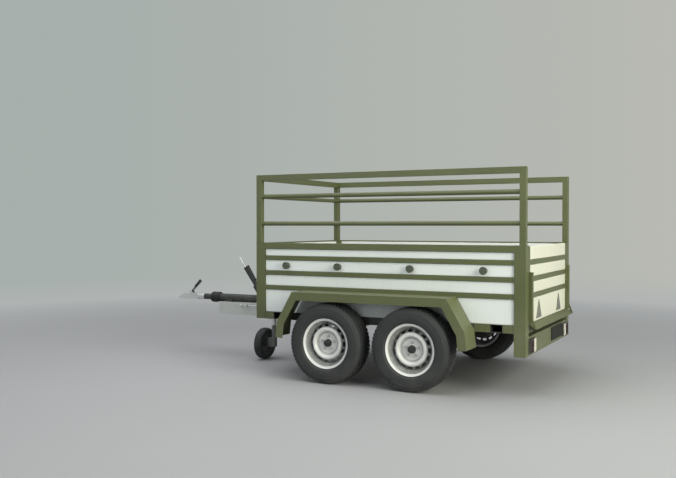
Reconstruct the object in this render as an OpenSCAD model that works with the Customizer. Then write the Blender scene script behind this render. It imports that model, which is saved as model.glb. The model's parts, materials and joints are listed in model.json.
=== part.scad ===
// Twin-axle livestock trailer: open-top boarded body, tube cage, overrun coupling and drop tailgate.
// X runs rearwards, Y to the trailer's right-hand side and Z up. Pieces are drawn with X = 0 at the
// rear face of the corner posts, and the whole trailer is then moved so that the origin is under
// the middle of its box.

/* [Body] */
// Length over the corner posts
body_len = 2420; // [2100:10:3000]
// Width over the corner posts
body_w = 1520; // [1270:10:1900]
// Height of the top of the floor frame
deck_z = 546; // [500:2:640]
// Side of the square corner posts
corner_size = 90; // [75:1:108]
// Depth of the floor frame
sill_h = 62; // [50:1:80]
// Thickness of the floor board
deck_t = 18; // [12:1:24]

/* [Walls] */
// Heights of the wall boards, from the bottom one up
board_h = [198, 92, 93, 60];
// Height of the rib between two boards
rib_h = 38; // [30:1:46]
// Height of the rail along the top of the walls
belt_h = 53; // [44:1:64]
// Thickness of the wall boards
board_t = 18; // [12:1:22]

/* [Cage] */
// Height of the cage above the walls
cage_h = 600; // [500:10:800]
// Side of the square cage posts and top rails
post_size = 50; // [40:1:60]
// Diameter of the round cage rails
tube_d = 38; // [30:1:46]
// Height of the lower round rail above the walls
low_tube_z = 170; // [140:1:200]
// Height of the upper round rail above the walls
high_tube_z = 410; // [360:1:450]

/* [Wheels] */
// Diameter of the road tyres
tyre_od = 668; // [560:1:800]
// Width of the road tyres
tyre_w = 205; // [171:1:240]
// Diameter over the rim's lips
rim_od = 416; // [400:1:430]
// Gap between the front and rear tyre
tyre_gap = 82; // [70:1:110]
// Gap between the body's side and the tyre's inner wall
side_gap = 23; // [20:1:40]
// How far the middle of the axle pair is behind the body's middle, negative when ahead
axle_shift = -23; // [-100:1:100]
// Length of a swing arm, pivot to wheel centre, along X
arm_reach = 150; // [130:1:170]
// Diameter of the stub axles
stub_d = 30; // [26:1:36]

/* [Mudguards] */
// Height of the mudguard's top above the tyre
guard_rise = 84; // [80:1:120]
// Height of the mudguard's outer flange
guard_flange = 70; // [50:1:72]
// Sheet thickness of the mudguards
guard_t = 4; // [3:0.5:6]
// Overhang of the mudguard past the tyre's outer wall
guard_over = 5; // [2:1:20]

/* [Coupling] */
// Overall reach of the coupling ahead of the corner posts
drawbar_reach = 1465; // [1450:5:1700]
// Width of the drawbar beam
beam_w = 100; // [80:1:110]
// Height of the drawbar beam
beam_h = 123; // [100:1:130]
// Diameter of the draw shaft
shaft_d = 50; // [40:1:56]
// Outer diameter of the overrun housing
housing_d = 76; // [72:1:84]
// Travel of the draw shaft
overrun_travel = 70; // [50:1:80]
// Diameter of the tow ball that the head takes
ball_d = 50; // [48:1:52]

/* [Tailgate] */
// Gap between the tailgate and each corner post
gate_gap = 3; // [2:0.5:6]
// Thickness of the tailgate frame
gate_t = 40; // [34:1:46]
// Diameter of the tailgate's bolts
bolt_d = 14; // [10:1:18]

/* [Jockey wheel] */
// Diameter of the jockey wheel
jockey_od = 306; // [250:1:306]
// Width of the jockey wheel
jockey_w = 88; // [60:1:90]
// Diameter of the jockey wheel's outer tube
jockey_tube_d = 48; // [44:1:52]
// Distance from the jockey wheel's leg to the middle of its wheel
jockey_offset = 108; // [106:1:114]

/* [Fits] */
// Radial clearance of a shaft that turns or slides in its hole
run_fit = 0.05; // [0.03:0.01:0.09]
// Gap between pieces of different bodies that never touch
body_gap = 0.5; // [0.3:0.1:1]
// Wall of the box sections
wall = 4; // [3:0.5:5]

/* [Hidden] */
$fn = 64;
axle_names = ["front_left", "front_right", "rear_left", "rear_right"];
wheel_kinds = ["tyre", "rim", "hub", "swing_arm"];
fixed_nodes = ["sill_rails", "chassis_rails", "cross_members", "drawbar_beam", "corner_posts",
    "belt_rails", "board_ribs", "wall_boards", "inner_lining", "floor_deck", "cage_posts",
    "cage_top_rails", "cage_tube_rails", "mudguard_left", "mudguard_right", "axle_tubes",
    "tie_knobs", "rear_beam", "lamp_housings", "lamp_lenses", "plate_panel", "hinge_brackets",
    "overrun_housing", "jockey_clamp"];
moving_nodes = ["tailgate_frame", "tailgate_boards", "tailgate_lip", "reflectors",
    "latch_bolt_left", "latch_bolt_right", "draw_shaft", "gaiter", "coupling_head",
    "coupling_handle", "handbrake_lever", "release_rod", "brake_rod", "jockey_tube",
    "jockey_stem", "jockey_fork", "jockey_rim", "jockey_tyre", "jockey_crank", "clamp_handle"];

olive = [0.33, 0.36, 0.24];
white = [0.84, 0.86, 0.84];
dark = [0.12, 0.13, 0.12];
zinc = [0.70, 0.71, 0.70];
silver = [0.80, 0.81, 0.80];
rubber = [0.11, 0.12, 0.12];
beam_grey = [0.58, 0.60, 0.58];

// Body levels and faces
eps = 1;
half_w = body_w / 2;
face_in = 3;                                   // ribs and sills sit this far inside the post faces
sill_z = deck_z - sill_h;
sill_w = 67;
board_in = 12;                                 // outer face of the boards, inside the post faces
rib_depth = 36;                                // inner face of the ribs, inside the post faces
lining_t = 14;
lining_in = rib_depth + lining_t;              // inner face of the lining
cap_h = 12;
rib_count = len(board_h) - 1;
function board_z(i) = i == 0 ? deck_z : board_z(i - 1) + board_h[i - 1] + rib_h;
wall_top = board_z(rib_count) + board_h[rib_count] + belt_h;
cage_top = wall_top + cage_h;
side_len = body_len - 2 * corner_size;         // between the corner posts, along a side
front_len = body_w - 2 * corner_size;
rear_post_z = deck_z - 240;
cap_t = 4;
threshold_x = -96;                             // the floor board ends here, clear of the gate's bolts
threshold_gap = 4;                             // gap between the threshold and the closed tailgate
cage_wall = 3;

// Floor frame
cross_w = 100;
cross_inset = 227;                             // cross member that shows in the sill, to the end
inner_cross_w = 60;

// Wheels and suspension
wheel_r = tyre_od / 2;
wheel_pitch = tyre_od + tyre_gap;
axle_mid_x = -body_len / 2 + axle_shift;
wheel_mid_y = half_w + side_gap + tyre_w / 2;
axle_tube = 50;
axle_tube_z = sill_z - 75 - axle_tube / 2;
axle_tube_end = half_w - 60;
arm_t = 35;
arm_drop = axle_tube_z - wheel_r;
arm_len = norm([arm_reach, arm_drop]);
arm_tilt = atan2(arm_drop, arm_reach);
arm_y = axle_tube_end + body_gap;
boss_d = 60;
torsion_bar = 26;
drum_in = wheel_mid_y - 83;                    // inner edge of the brake drum
disc_y = 25;                                   // mounting face of the rim's disc, off the mid-plane
axle_tube_x = [for (s = [-1, 1]) axle_mid_x + s * wheel_pitch / 2 - arm_reach];
stud_circle_d = 112;
stud_count = 5;
stud_d = 12;
cap_d = 62;
rim_bore = cap_d + 4;
vent_count = 15;
vent_r = 0.70 * rim_od / 2;

// Mudguards
guard_top_z = tyre_od + guard_rise;
guard_reach = wheel_pitch / 2 + wheel_r;
guard_inner_y = half_w - face_in + body_gap;
guard_outer_y = wheel_mid_y + tyre_w / 2 + guard_over;
guard_knee_drop = 253;
guard_foot_drop = 389;
guard_foot_x = guard_reach + 137;
guard_knee_x = guard_reach + 122;
guard_top_x = guard_reach - 25;

// Tie knobs, as distances from the rear face of the body; the last is measured from the front
knob_from_rear = [327, 940, 1600];
knob_from_front = 315;
knob_d = 63;

// Drawbar, coupling and handbrake
beam_top = deck_z - 13;
beam_wall = 6;
beam_front_x = -body_len - drawbar_reach + 533;
beam_end_x = axle_mid_x - wheel_pitch / 2 - arm_reach - axle_tube / 2 - 20;
shaft_z = beam_top + housing_d / 2 + 2.5;
head_tip_x = -body_len - drawbar_reach;
head_end_x = head_tip_x + 329;
collar_end_x = head_end_x + 89;
gaiter_folded = 64;                            // room that the folded gaiter still needs
housing_x = collar_end_x + overrun_travel + gaiter_folded;
housing_len = 643;
shaft_tail_x = housing_x + 283;
head_h = 63;
head_z = shaft_z - head_h / 2;
socket_x = head_tip_x + 60;
socket_depth = 28;
socket_r = ball_d / 2 + 0.2;
head_pin_x = head_tip_x + 153;
head_pin_z = head_z + head_h + 14;
brake_pivot_x = housing_x + 500;
brake_pivot_z = shaft_z + 11.5;
brake_pin_d = 16;
lever_tilt = 36;                               // lean of the handbrake lever, forwards from upright
lever_rod_end = 488;
lever_grip_end = 372;
lever_yoke_end = 150;
lever_yoke_y = housing_d / 2 + 4;
yoke_t = 6;
yoke_w = 28;
grip_d = 44;
brake_rod_z = beam_top - 25;
brake_rod_y = -(beam_w / 2 + 24);
brake_rod_d = 12;
brake_rod_x = housing_x + 279;
brake_rod_len = cross_inset + cross_w / 2 + 85 - body_len - brake_rod_x;
brake_arm = 50;
release_d = 12;
handle_lean = 43;                              // lean of the coupling handle above the head

// Jockey wheel
jockey_x = -body_len - 221;
jockey_y = -(beam_w / 2 + 62);
jockey_wheel_z = jockey_od / 2;
jockey_wheel_x = jockey_x - jockey_offset;
clamp_z = beam_top - beam_h + 10;
clamp_h = 70;
jockey_tube_z = clamp_z - 2;
jockey_tube_len = 342;
jockey_tube_bore = jockey_tube_d - 7;
stem_d = jockey_tube_bore - 2 * body_gap;
fork_top = jockey_od + 28;
spindle_d = 20;
screw_d = 16;
clamp_screw_d = 14;

// Tailgate
gate_half = half_w - corner_size - gate_gap;
gate_side_w = 38;
gate_z = deck_z + 5;
gate_top = wall_top - 6;
hinge_x = 15;
hinge_z = sill_z + 18;
hinge_pin_d = 12;
knuckle_d = 24;
knuckle_w = 40;
hinge_y = [-1, 0, 1] * (half_w - 310);
lip_tip_x = 59;
lip_tip_z = deck_z - 29;
bolt_z = gate_top - 65;
bolt_x = -gate_t - 12;
bolt_hole_gap = 0.5;

// Rear beam, lamps, number-plate panel and reflectors
rear_beam_h = 148;
lamp_in_y = 500;
lamp_w = half_w - corner_size - 2 - lamp_in_y;
lamp_z = rear_post_z + 18;
lamp_h = 112;
lamp_back_t = 14;
plate_in_y = 88;
plate_w = 383;
plate_z = rear_post_z + 27;
plate_h = 113;
plate_t = 8;
reflector_y = 345;
reflector_w = 160;
reflector_h = 145;
reflector_z = deck_z + 29;

// The row's origin: middle of the length, on the ground
frame_shift = -(head_tip_x + lip_tip_x) / 2;

// A box section bar, open at both ends of the axis given by along (0 = X, 1 = Y, 2 = Z)
module hollow_bar(size, along, thick = wall) {
    through = [for (i = [0:2]) i == along ? -eps : thick];
    difference() {
        cube(size);
        translate(through) cube([for (i = [0:2]) size[i] - 2 * through[i]]);
    }
}

// A cylinder along X or Y, starting at the origin
module rod_x(d, l) rotate([0, 90, 0]) cylinder(d = d, h = l);
module rod_y(d, l) rotate([-90, 0, 0]) cylinder(d = d, h = l);

// A flat plate in the XZ plane, y thick, of the flat shape that follows or of a given outline
module plate_of(thick) rotate([90, 0, 0]) translate([0, 0, -thick]) linear_extrude(thick) children();
module plate_xz(outline, thick) plate_of(thick) polygon(outline);

// Children are drawn for the -Y side, with y measured inwards from the post face, and mirrored
module both_sides() {
    for (side = [-1, 1])
        mirror([0, side > 0 ? 1 : 0, 0]) translate([0, -half_w, 0]) children();
}

// The front wall is drawn like a side, with x along the wall and y inwards, and turned
module front_side() translate([-body_len, 0, 0]) rotate([0, 0, -90]) children();

// Children are drawn for the +Y side
module left_and_right()
    for (side = [0, 1])
        mirror([0, side, 0]) children();

// A straight member of a wall, centred on x = 0: depths are measured inwards from the post face
module wall_member(length, depth_out, depth_in, z_low, z_high)
    translate([-length / 2, depth_out, z_low]) cube([length, depth_in - depth_out, z_high - z_low]);

// A hollow member of a wall, open at its ends
module wall_tube(length, depth_out, depth_in, z_low, z_high)
    translate([-length / 2, depth_out, z_low])
        hollow_bar([length, depth_in - depth_out, z_high - z_low], 0);

// The same member on both sides and, shorter, across the front
module around_walls() {
    both_sides() translate([-body_len / 2, 0, 0]) {
        $wall_len = side_len;
        children();
    }
    front_side() {
        $wall_len = front_len;
        children();
    }
}

// The four corners of the body, for a square of this size flush with the outer faces
module corner_squares(size)
    for (x = [-body_len, -size])
        for (y = [-half_w, half_w - size])
            translate([x, y, 0]) children();

// Floor frame

// Room that the drawbar, the brake rod and the outer cross members need
module drawbar_space()
    translate([beam_front_x, -beam_w / 2 - body_gap, 0])
        cube([beam_end_x - beam_front_x + eps, beam_w + 2 * body_gap, beam_top + body_gap]);

module brake_rod_space()
    translate([-body_len - eps, brake_rod_y, brake_rod_z]) rod_x(brake_rod_d + 8, body_len / 2);

module cross_end_space()
    for (x = [-cross_inset, cross_inset - body_len])
        translate([x - cross_w / 2 - body_gap / 2, -half_w, sill_z - eps])
            cube([cross_w + body_gap, body_w, sill_h + 2 * eps]);

module sill_rails() color(olive) {
    front_end = axle_mid_x - guard_knee_x;
    rear_end = axle_mid_x + guard_knee_x;
    difference() {
        both_sides() {
            translate([corner_size - body_len, face_in, sill_z])
                hollow_bar([front_end + body_len - corner_size, sill_w, sill_h], 0);
            translate([rear_end, face_in, sill_z])
                hollow_bar([-rear_end - corner_size, sill_w, sill_h], 0);
        }
        cross_end_space();
    }
    difference() {
        translate([face_in - body_len, -front_len / 2, sill_z])
            hollow_bar([sill_w, front_len, sill_h], 1);
        drawbar_space();
        brake_rod_space();
    }
    translate([-face_in - sill_w, -front_len / 2, sill_z])
        hollow_bar([sill_w, front_len, sill_h], 1);
    translate([threshold_x, -front_len / 2, deck_z])
        cube([-gate_t - threshold_gap - threshold_x, front_len, deck_t]);
}

// Dark side members between the mudguard legs, with the hangers that carry the axle tubes
module chassis_rails() color(dark) {
    hanger_w = axle_tube + 70;
    hanger_t = 8;
    rail_len = 2 * guard_knee_x - body_gap;
    hanger_z = axle_tube_z + axle_tube / 2;
    both_sides() {
        translate([axle_mid_x - rail_len / 2, face_in, sill_z])
            hollow_bar([rail_len, sill_w, sill_h], 0);
        for (x = axle_tube_x)
            translate([x - hanger_w / 2, face_in + sill_w - hanger_t, hanger_z])
                cube([hanger_w, hanger_t, sill_z - hanger_z]);
    }
}

module cross_members() color(dark) {
    inner_half = half_w - face_in - sill_w;
    difference() {
        union() {
            for (x = [-cross_inset, cross_inset - body_len])
                translate([x - cross_w / 2, face_in - half_w, sill_z])
                    hollow_bar([cross_w, body_w - 2 * face_in, sill_h], 1);
            for (x = axle_tube_x)
                translate([x - inner_cross_w / 2, -inner_half, sill_z])
                    hollow_bar([inner_cross_w, 2 * inner_half, sill_h], 1);
        }
        drawbar_space();
        brake_rod_space();
    }
}

module floor_deck() color([0.45, 0.38, 0.28]) {
    deck_front = lining_in - body_len;
    deck_rear = threshold_x - body_gap;
    notch = corner_size + body_gap;
    difference() {
        translate([deck_front, lining_in - half_w, deck_z])
            cube([deck_rear - deck_front, body_w - 2 * lining_in, deck_t]);
        corner_squares(notch)
            translate([0, 0, sill_z]) cube([notch, notch, sill_h + 2 * deck_t]);
    }
}

// Walls

// Corner posts are closed on top; the rear pair runs down to the lamp beam and takes the gate's bolts
module corner_posts() color(olive)
    difference() {
        union()
            for (x = [-body_len, -corner_size]) {
                foot = x == -corner_size ? rear_post_z : sill_z;
                for (y = [-half_w, half_w - corner_size])
                    translate([x, y, foot]) {
                        hollow_bar([corner_size, corner_size, wall_top - foot - cap_t], 2);
                        translate([0, 0, wall_top - foot - cap_t]) cube([corner_size, corner_size, cap_t]);
                    }
            }
        left_and_right()
            translate([bolt_x, gate_half, bolt_z]) rod_y(bolt_d + 2 * bolt_hole_gap, corner_size / 2);
    }

module belt_rails() color(olive)
    around_walls() {
        wall_tube($wall_len, 0, rib_depth, wall_top - belt_h, wall_top);
        wall_member($wall_len, rib_depth, lining_in, wall_top - cap_h, wall_top);
    }

module board_ribs() color(olive)
    around_walls()
        for (i = [1:rib_count])
            wall_tube($wall_len, face_in, rib_depth, board_z(i) - rib_h, board_z(i));

module wall_boards() color(white)
    around_walls()
        for (i = [0:rib_count])
            wall_member($wall_len, board_in, board_in + board_t, board_z(i), board_z(i) + board_h[i]);

module inner_lining() color(white)
    around_walls()
        wall_member($wall_len, rib_depth, lining_in, deck_z + deck_t, wall_top - cap_h);

// Cage

module cage_posts() color(olive)
    corner_squares(post_size)
        translate([0, 0, wall_top]) {
            hollow_bar([post_size, post_size, cage_h - cap_t], 2, cage_wall);
            translate([0, 0, cage_h - cap_t]) cube([post_size, post_size, cap_t]);
        }

module cage_top_rails() color(olive) {
    rail_z = cage_top - post_size;
    both_sides()
        translate([post_size - body_len, 0, rail_z])
            hollow_bar([body_len - 2 * post_size, post_size, post_size], 0, cage_wall);
    translate([-body_len, post_size - half_w, rail_z])
        hollow_bar([post_size, body_w - 2 * post_size, post_size], 1, cage_wall);
}

module round_tube(d, l, thick)
    difference() {
        rod_x(d, l);
        translate([-eps, 0, 0]) rod_x(d - 2 * thick, l + 2 * eps);
    }

module cage_tube_rails() color(olive)
    for (z = [wall_top + low_tube_z, wall_top + high_tube_z]) {
        both_sides()
            translate([post_size - body_len, post_size / 2, z])
                round_tube(tube_d, body_len - 2 * post_size, cage_wall);
        front_side()
            translate([post_size - half_w, post_size / 2, z])
                round_tube(tube_d, body_w - 2 * post_size, cage_wall);
    }

// Rope knobs along the second board from the top
module tie_knobs() color(dark) {
    knob_z = board_z(rib_count - 1) + board_h[rib_count - 1] / 2;
    r = knob_d / 2;
    both_sides()
        for (x = concat(-knob_from_rear, [knob_from_front - body_len]))
            translate([x, board_in, knob_z]) rotate([90, 0, 0]) rotate_extrude()
                polygon([[0, 0], [r - 4, 0], [r - 4, 6], [r - 14, 10], [r - 14, 24], [r - 2, 28], [r, 31],
                    [r, 38], [r - 3, 41], [r - 8, 41], [r - 10, 38], [r - 18, 38], [r - 20, 41], [0, 41]]);
}

// Mudguards

// A polyline moved sideways by d, with mitred corners
function unit(v) = v / norm(v);
function left_normal(v) = [-v[1], v[0]];
function segment_normal(p, i) = left_normal(unit(p[i + 1] - p[i]));
function moved(p, d) = [for (i = [0:len(p) - 1])
    let (a = segment_normal(p, max(i - 1, 0)), b = segment_normal(p, min(i, len(p) - 2)))
        p[i] + d * (a + b) / (1 + a * b)];
function reversed(p) = [for (i = [len(p) - 1:-1:0]) p[i]];

guard_line = [[guard_foot_x, -guard_foot_drop], [guard_knee_x, -guard_knee_drop], [guard_top_x, 0],
    [-guard_top_x, 0], [-guard_knee_x, -guard_knee_drop], [-guard_foot_x, -guard_foot_drop]];

module guard_band(width, thick)
    plate_xz(concat(guard_line, reversed(moved(guard_line, width))), thick);

module mudguard() color(olive)
    translate([axle_mid_x, 0, guard_top_z]) {
        translate([0, guard_inner_y, 0]) guard_band(guard_t, guard_outer_y - guard_inner_y - guard_t);
        translate([0, guard_outer_y - guard_t, 0]) guard_band(guard_flange, guard_t);
    }

module mudguard_left() mirror([0, 1, 0]) mudguard();
module mudguard_right() mudguard();

// Running gear

module axle_tubes() color(zinc)
    for (x = axle_tube_x)
        translate([x - axle_tube / 2, -axle_tube_end, axle_tube_z - axle_tube / 2])
            hollow_bar([axle_tube, 2 * axle_tube_end, axle_tube], 1, 5);

// Moves a piece drawn for the right-hand side (+Y), at the wheel centre, to one of the four wheels
module at_wheel(name) {
    fore = name == "front_left" || name == "front_right";
    left = name == "front_left" || name == "rear_left";
    translate([axle_mid_x + (fore ? -1 : 1) * wheel_pitch / 2, 0, wheel_r])
        mirror([0, left ? 1 : 0, 0]) children();
}

// Turns a profile of [radius, distance outwards] about the wheel's axis, in the wheel's mid-plane
module turned_wheel(profile)
    translate([0, wheel_mid_y, 0]) rotate([-90, 0, 0]) rotate_extrude() polygon(profile);

// Hollow carcass of the tyre: half an outline, mirrored
tyre_t = 13;
bead_r = 191;
tyre_half = [[bead_r, 73], [rim_od / 2 - 4, 76.5], [rim_od / 2 + 1.5, 83], [rim_od / 2 + 4, 90],
    [rim_od / 2 + 14, tyre_w / 2 - 4], [rim_od / 2 + 44, tyre_w / 2],
    [wheel_r - 44, tyre_w / 2 - 2], [wheel_r - 22, tyre_w / 2 - 7], [wheel_r - 8, tyre_w / 2 - 17],
    [wheel_r - 3, tyre_w / 2 - 28], [wheel_r, tyre_w / 2 - 48]];
tyre_hollow = [[bead_r, 52], [bead_r + 14, 62], [bead_r + 32, tyre_w / 2 - 18],
    [wheel_r - 44, tyre_w / 2 - tyre_t - 4], [wheel_r - 20, tyre_w / 2 - 36]];
function flipped(p) = [for (q = p) [q[0], -q[1]]];

module tyre(name) color(rubber)
    at_wheel(name) turned_wheel(concat(tyre_half, reversed(flipped(tyre_half)), flipped(tyre_hollow),
        reversed(tyre_hollow)));

// Steel rim: well barrel with rolled lips, and a dished disc with vents and stud holes
seat_r = bead_r - 1;
well_r = 166;
rim_t = 4;
rim_half_w = 84;
barrel = [[rim_od / 2, rim_half_w], [rim_od / 2 - 5, rim_half_w - 6], [seat_r, rim_half_w - 10],
    [seat_r - 2, 42], [well_r, 30], [well_r, -10], [seat_r - 2, -30], [seat_r, 10 - rim_half_w],
    [rim_od / 2 - 5, 6 - rim_half_w], [rim_od / 2, -rim_half_w]];
barrel_inner = [[rim_od / 2 - 3, rim_half_w + 3], [rim_od / 2 - 10, rim_half_w - 2],
    [seat_r - 6, rim_half_w - 5], [seat_r - 7, 44], [well_r - rim_t, 33], [well_r - rim_t, -12],
    [seat_r - 7, -32], [seat_r - 6, 5 - rim_half_w], [rim_od / 2 - 10, 2 - rim_half_w],
    [rim_od / 2 - 3, -3 - rim_half_w]];
disc_line = [[well_r - rim_t - 0.2, 20], [150, 36], [136, 42], [122, 58], [108, 62], [96, 56], [84, 36],
    [72, disc_y + 5], [rim_bore / 2, disc_y + 5]];
disc_back = [[rim_bore / 2, disc_y], [74, disc_y], [89, 34], [98, 49], [108, 56], [119, 53], [133, 37],
    [148, 31], [well_r - rim_t - 0.2, 12]];

module rim(name) color(silver)
    at_wheel(name) {
        turned_wheel(concat(barrel, reversed(barrel_inner)));
        difference() {
            turned_wheel(concat(disc_line, disc_back));
            translate([0, wheel_mid_y, 0]) {
                for (i = [0:vent_count - 1])
                    rotate([0, i * 360 / vent_count, 0]) translate([vent_r - 3, 0, 0]) vent();
                stud_places() rod_y(stud_d + 2, cap_d);
            }
        }
    }

// An oval slot through the disc
module vent() {
    wide = 16;
    long = 34;
    for (s = [-1, 1]) translate([0, 0, s * (long - wide) / 2]) rod_y(wide, 80);
    translate([-wide / 2, 0, -(long - wide) / 2]) cube([wide, 80, long - wide]);
}

module stud_places()
    for (i = [0:stud_count - 1])
        rotate([0, 90 + i * 360 / stud_count, 0]) translate([stud_circle_d / 2, 0, 0]) children();

// Brake drum on the stub axle, with the wheel bolts and the grease cap as solids of their own
module hub(name) color([0.30, 0.30, 0.29])
    at_wheel(name) {
        drum_d = 236;
        flange_y = wheel_mid_y + disc_y;
        bolt_seat = 5.3;
        cap_y = flange_y + 0.3;
        difference() {
            union() {
                translate([0, drum_in, 0]) rod_y(drum_d, 60);
                translate([0, drum_in + 59, 0]) rod_y(150, flange_y - drum_in - 59);
            }
            translate([0, drum_in - eps, 0]) rod_y(drum_d - 20, 52);
            translate([0, drum_in, 0]) rod_y(stub_d + 2 * run_fit, flange_y);
            translate([0, flange_y - 20, 0]) stud_places() rod_y(stud_d, 30);
        }
        translate([0, flange_y, 0]) stud_places() {
            translate([0, -18, 0]) rod_y(stud_d - 0.4, 25);
            translate([0, bolt_seat, 0]) rotate([-90, 0, 0]) cylinder(d = 21, h = 14, $fn = 6);
        }
        difference() {
            translate([0, cap_y, 0]) rod_y(cap_d, 37);
            translate([0, cap_y - eps, 0]) rod_y(cap_d - 14, 32);
        }
    }

// Side view of the arm, from its pivot to the wheel centre
module arm_outline() {
    arm_h = 48;
    circle(d = boss_d);
    translate([-arm_reach, arm_drop]) {
        circle(d = boss_d);
        rotate(-arm_tilt) translate([0, -arm_h / 2]) square([arm_len, arm_h]);
    }
}

// Trailing arm: torsion bar inside the axle tube, arm, stub axle and brake backplate
module swing_arm(name) color(dark)
    at_wheel(name) {
        bar_in = 150;
        sleeve_d = 46;
        backplate_d = 230;
        backplate_t = 6;
        backplate_y = drum_in - 2 - backplate_t;
        stub_end = wheel_mid_y + disc_y + 18;
        translate([-arm_reach - torsion_bar / 2, arm_y - bar_in, arm_drop - torsion_bar / 2])
            cube([torsion_bar, bar_in + eps, torsion_bar]);
        translate([0, arm_y, 0]) plate_of(arm_t) arm_outline();
        translate([0, arm_y + arm_t - eps, 0]) rod_y(sleeve_d, backplate_y - arm_y - arm_t + 2 * eps);
        translate([0, backplate_y, 0]) rod_y(backplate_d, backplate_t);
        translate([0, backplate_y + eps, 0]) rod_y(stub_d, stub_end - backplate_y - eps);
    }

// Rear beam and what it carries

module rear_beam() color(olive) {
    beam_depth = 60;
    translate([-face_in - beam_depth, -front_len / 2, rear_post_z])
        hollow_bar([beam_depth, front_len, rear_beam_h], 1);
}

module lamp_housings() color(dark)
    left_and_right()
        translate([-face_in, lamp_in_y, lamp_z]) cube([lamp_back_t, lamp_w, lamp_h]);

module lamp_lenses() color([0.35, 0.08, 0.06])
    left_and_right() {
        rim = 3;
        clear_w = 60;
        lens_x = lamp_back_t - face_in;
        translate([lens_x, lamp_in_y + rim, lamp_z + rim]) cube([9, clear_w - rim, lamp_h - 2 * rim]);
        translate([lens_x, lamp_in_y + clear_w + rim, lamp_z + rim])
            cube([9, lamp_w - clear_w - 2 * rim, lamp_h - 2 * rim]);
    }

module plate_panel() color(dark)
    translate([-face_in, plate_in_y, plate_z]) cube([plate_t, plate_w, plate_h]);

// Fixed halves of the tailgate's hinges, with their pins
module hinge_brackets() color(dark)
    for (y = hinge_y) {
        leaf_t = 4;
        leaf_x = -face_in;
        for (s = [-1, 1])
            translate([0, y + (s - 1) * knuckle_w / 2 + s * (knuckle_w / 2 + body_gap), 0]) {
                translate([hinge_x, 0, hinge_z]) rod_y(knuckle_d, knuckle_w);
                translate([leaf_x, 0, sill_z + 3]) cube([leaf_t, knuckle_w, sill_h - 8]);
                translate([leaf_x, 0, hinge_z - 5]) cube([hinge_x - leaf_x, knuckle_w, 10]);
            }
        translate([hinge_x, y - knuckle_w * 1.2, hinge_z]) rod_y(hinge_pin_d, knuckle_w * 2.4);
    }

// Tailgate

// Welded frame: side uprights, ribs, foot rail, outer side bars and the guides for the bolts
module tailgate_frame() color(olive) {
    bar_out = 28;
    guide_t = 12;
    bar_top = board_z(2) + board_h[2] / 2 - 8;
    bar_z = gate_z + 10;
    inner = gate_half - gate_side_w;
    left_and_right() {
        translate([-gate_t, inner, gate_z]) cube([gate_t, gate_side_w, gate_top - gate_z]);
        translate([-eps, inner + 2, bar_z]) cube([bar_out + eps, gate_side_w - 2, bar_top - bar_z]);
    }
    for (i = [1:rib_count])
        difference() {
            translate([-gate_t, -inner - eps, board_z(i) - rib_h])
                cube([gate_t - 2, 2 * inner + 2 * eps, rib_h]);
            translate([-gate_t - eps, -inner, board_z(i) - rib_h + wall])
                cube([gate_t - 2 - wall, 2 * inner, rib_h - 2 * wall]);
        }
    translate([-gate_t, -inner - eps, gate_z]) cube([12, 2 * inner + 2 * eps, 60]);
    left_and_right()
        for (y = [gate_half - 96, gate_half - 22])
            difference() {
                translate([bolt_x - bolt_d, y, bolt_z - bolt_d])
                    cube([bolt_d - bolt_x - gate_t + eps, guide_t, 2 * bolt_d]);
                translate([bolt_x, y - eps, bolt_z]) rod_y(bolt_d + 2 * run_fit, guide_t + 2 * eps);
            }
}

module tailgate_boards() color(white) {
    inner = gate_half - gate_side_w;
    for (i = [0:rib_count]) {
        low = i == 0 ? gate_z + 2 : board_z(i);
        high = i == rib_count ? gate_top : board_z(i) + board_h[i];
        translate([-4 - 24, -inner + body_gap, low]) cube([24, 2 * inner - 2 * body_gap, high - low]);
    }
}

// Sloping lip along the gate's foot, with end gussets and the moving hinge knuckles
module tailgate_lip() color(olive) {
    root_z = deck_z + 10;
    sheet = 6;
    difference() {
        union() {
            translate([0, -gate_half, 0])
                plate_xz([[0, root_z], [lip_tip_x, lip_tip_z],
                    [lip_tip_x - 3, lip_tip_z - sheet + 1], [0, root_z - sheet]],
                    2 * gate_half);
            left_and_right()
                translate([0, gate_half - sheet, 0])
                    plate_xz([[28, deck_z + 54], [lip_tip_x, lip_tip_z], [28, deck_z - 9]], sheet);
            for (y = hinge_y) {
                translate([hinge_x, y - knuckle_w / 2, hinge_z]) rod_y(knuckle_d, knuckle_w);
                translate([hinge_x - knuckle_d / 2, y - knuckle_w / 2, hinge_z])
                    cube([6, knuckle_w, root_z - hinge_z - sheet]);
            }
        }
        for (y = hinge_y)
            translate([hinge_x, y - knuckle_w, hinge_z]) rod_y(hinge_pin_d + 2 * run_fit, 2 * knuckle_w);
    }
}

module reflectors() color([0.40, 0.38, 0.30])
    left_and_right()
        translate([-4, reflector_y, 0])
            rotate([90, 0, 90]) linear_extrude(6)
                polygon([[-reflector_w / 2, reflector_z], [reflector_w / 2, reflector_z],
                    [0, reflector_z + reflector_h]]);

// Bolt that slides out into the corner post, with its finger pin between the two guides
module latch_bolt() color(zinc) {
    bolt_len = 120;
    translate([bolt_x, gate_half - 2 - bolt_len, bolt_z]) rod_y(bolt_d, bolt_len);
    translate([bolt_x - 40, gate_half - 74, bolt_z]) rod_x(9, 40);
}

module latch_bolt_left() mirror([0, 1, 0]) latch_bolt();
module latch_bolt_right() latch_bolt();

// Drawbar and overrun coupling

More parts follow.
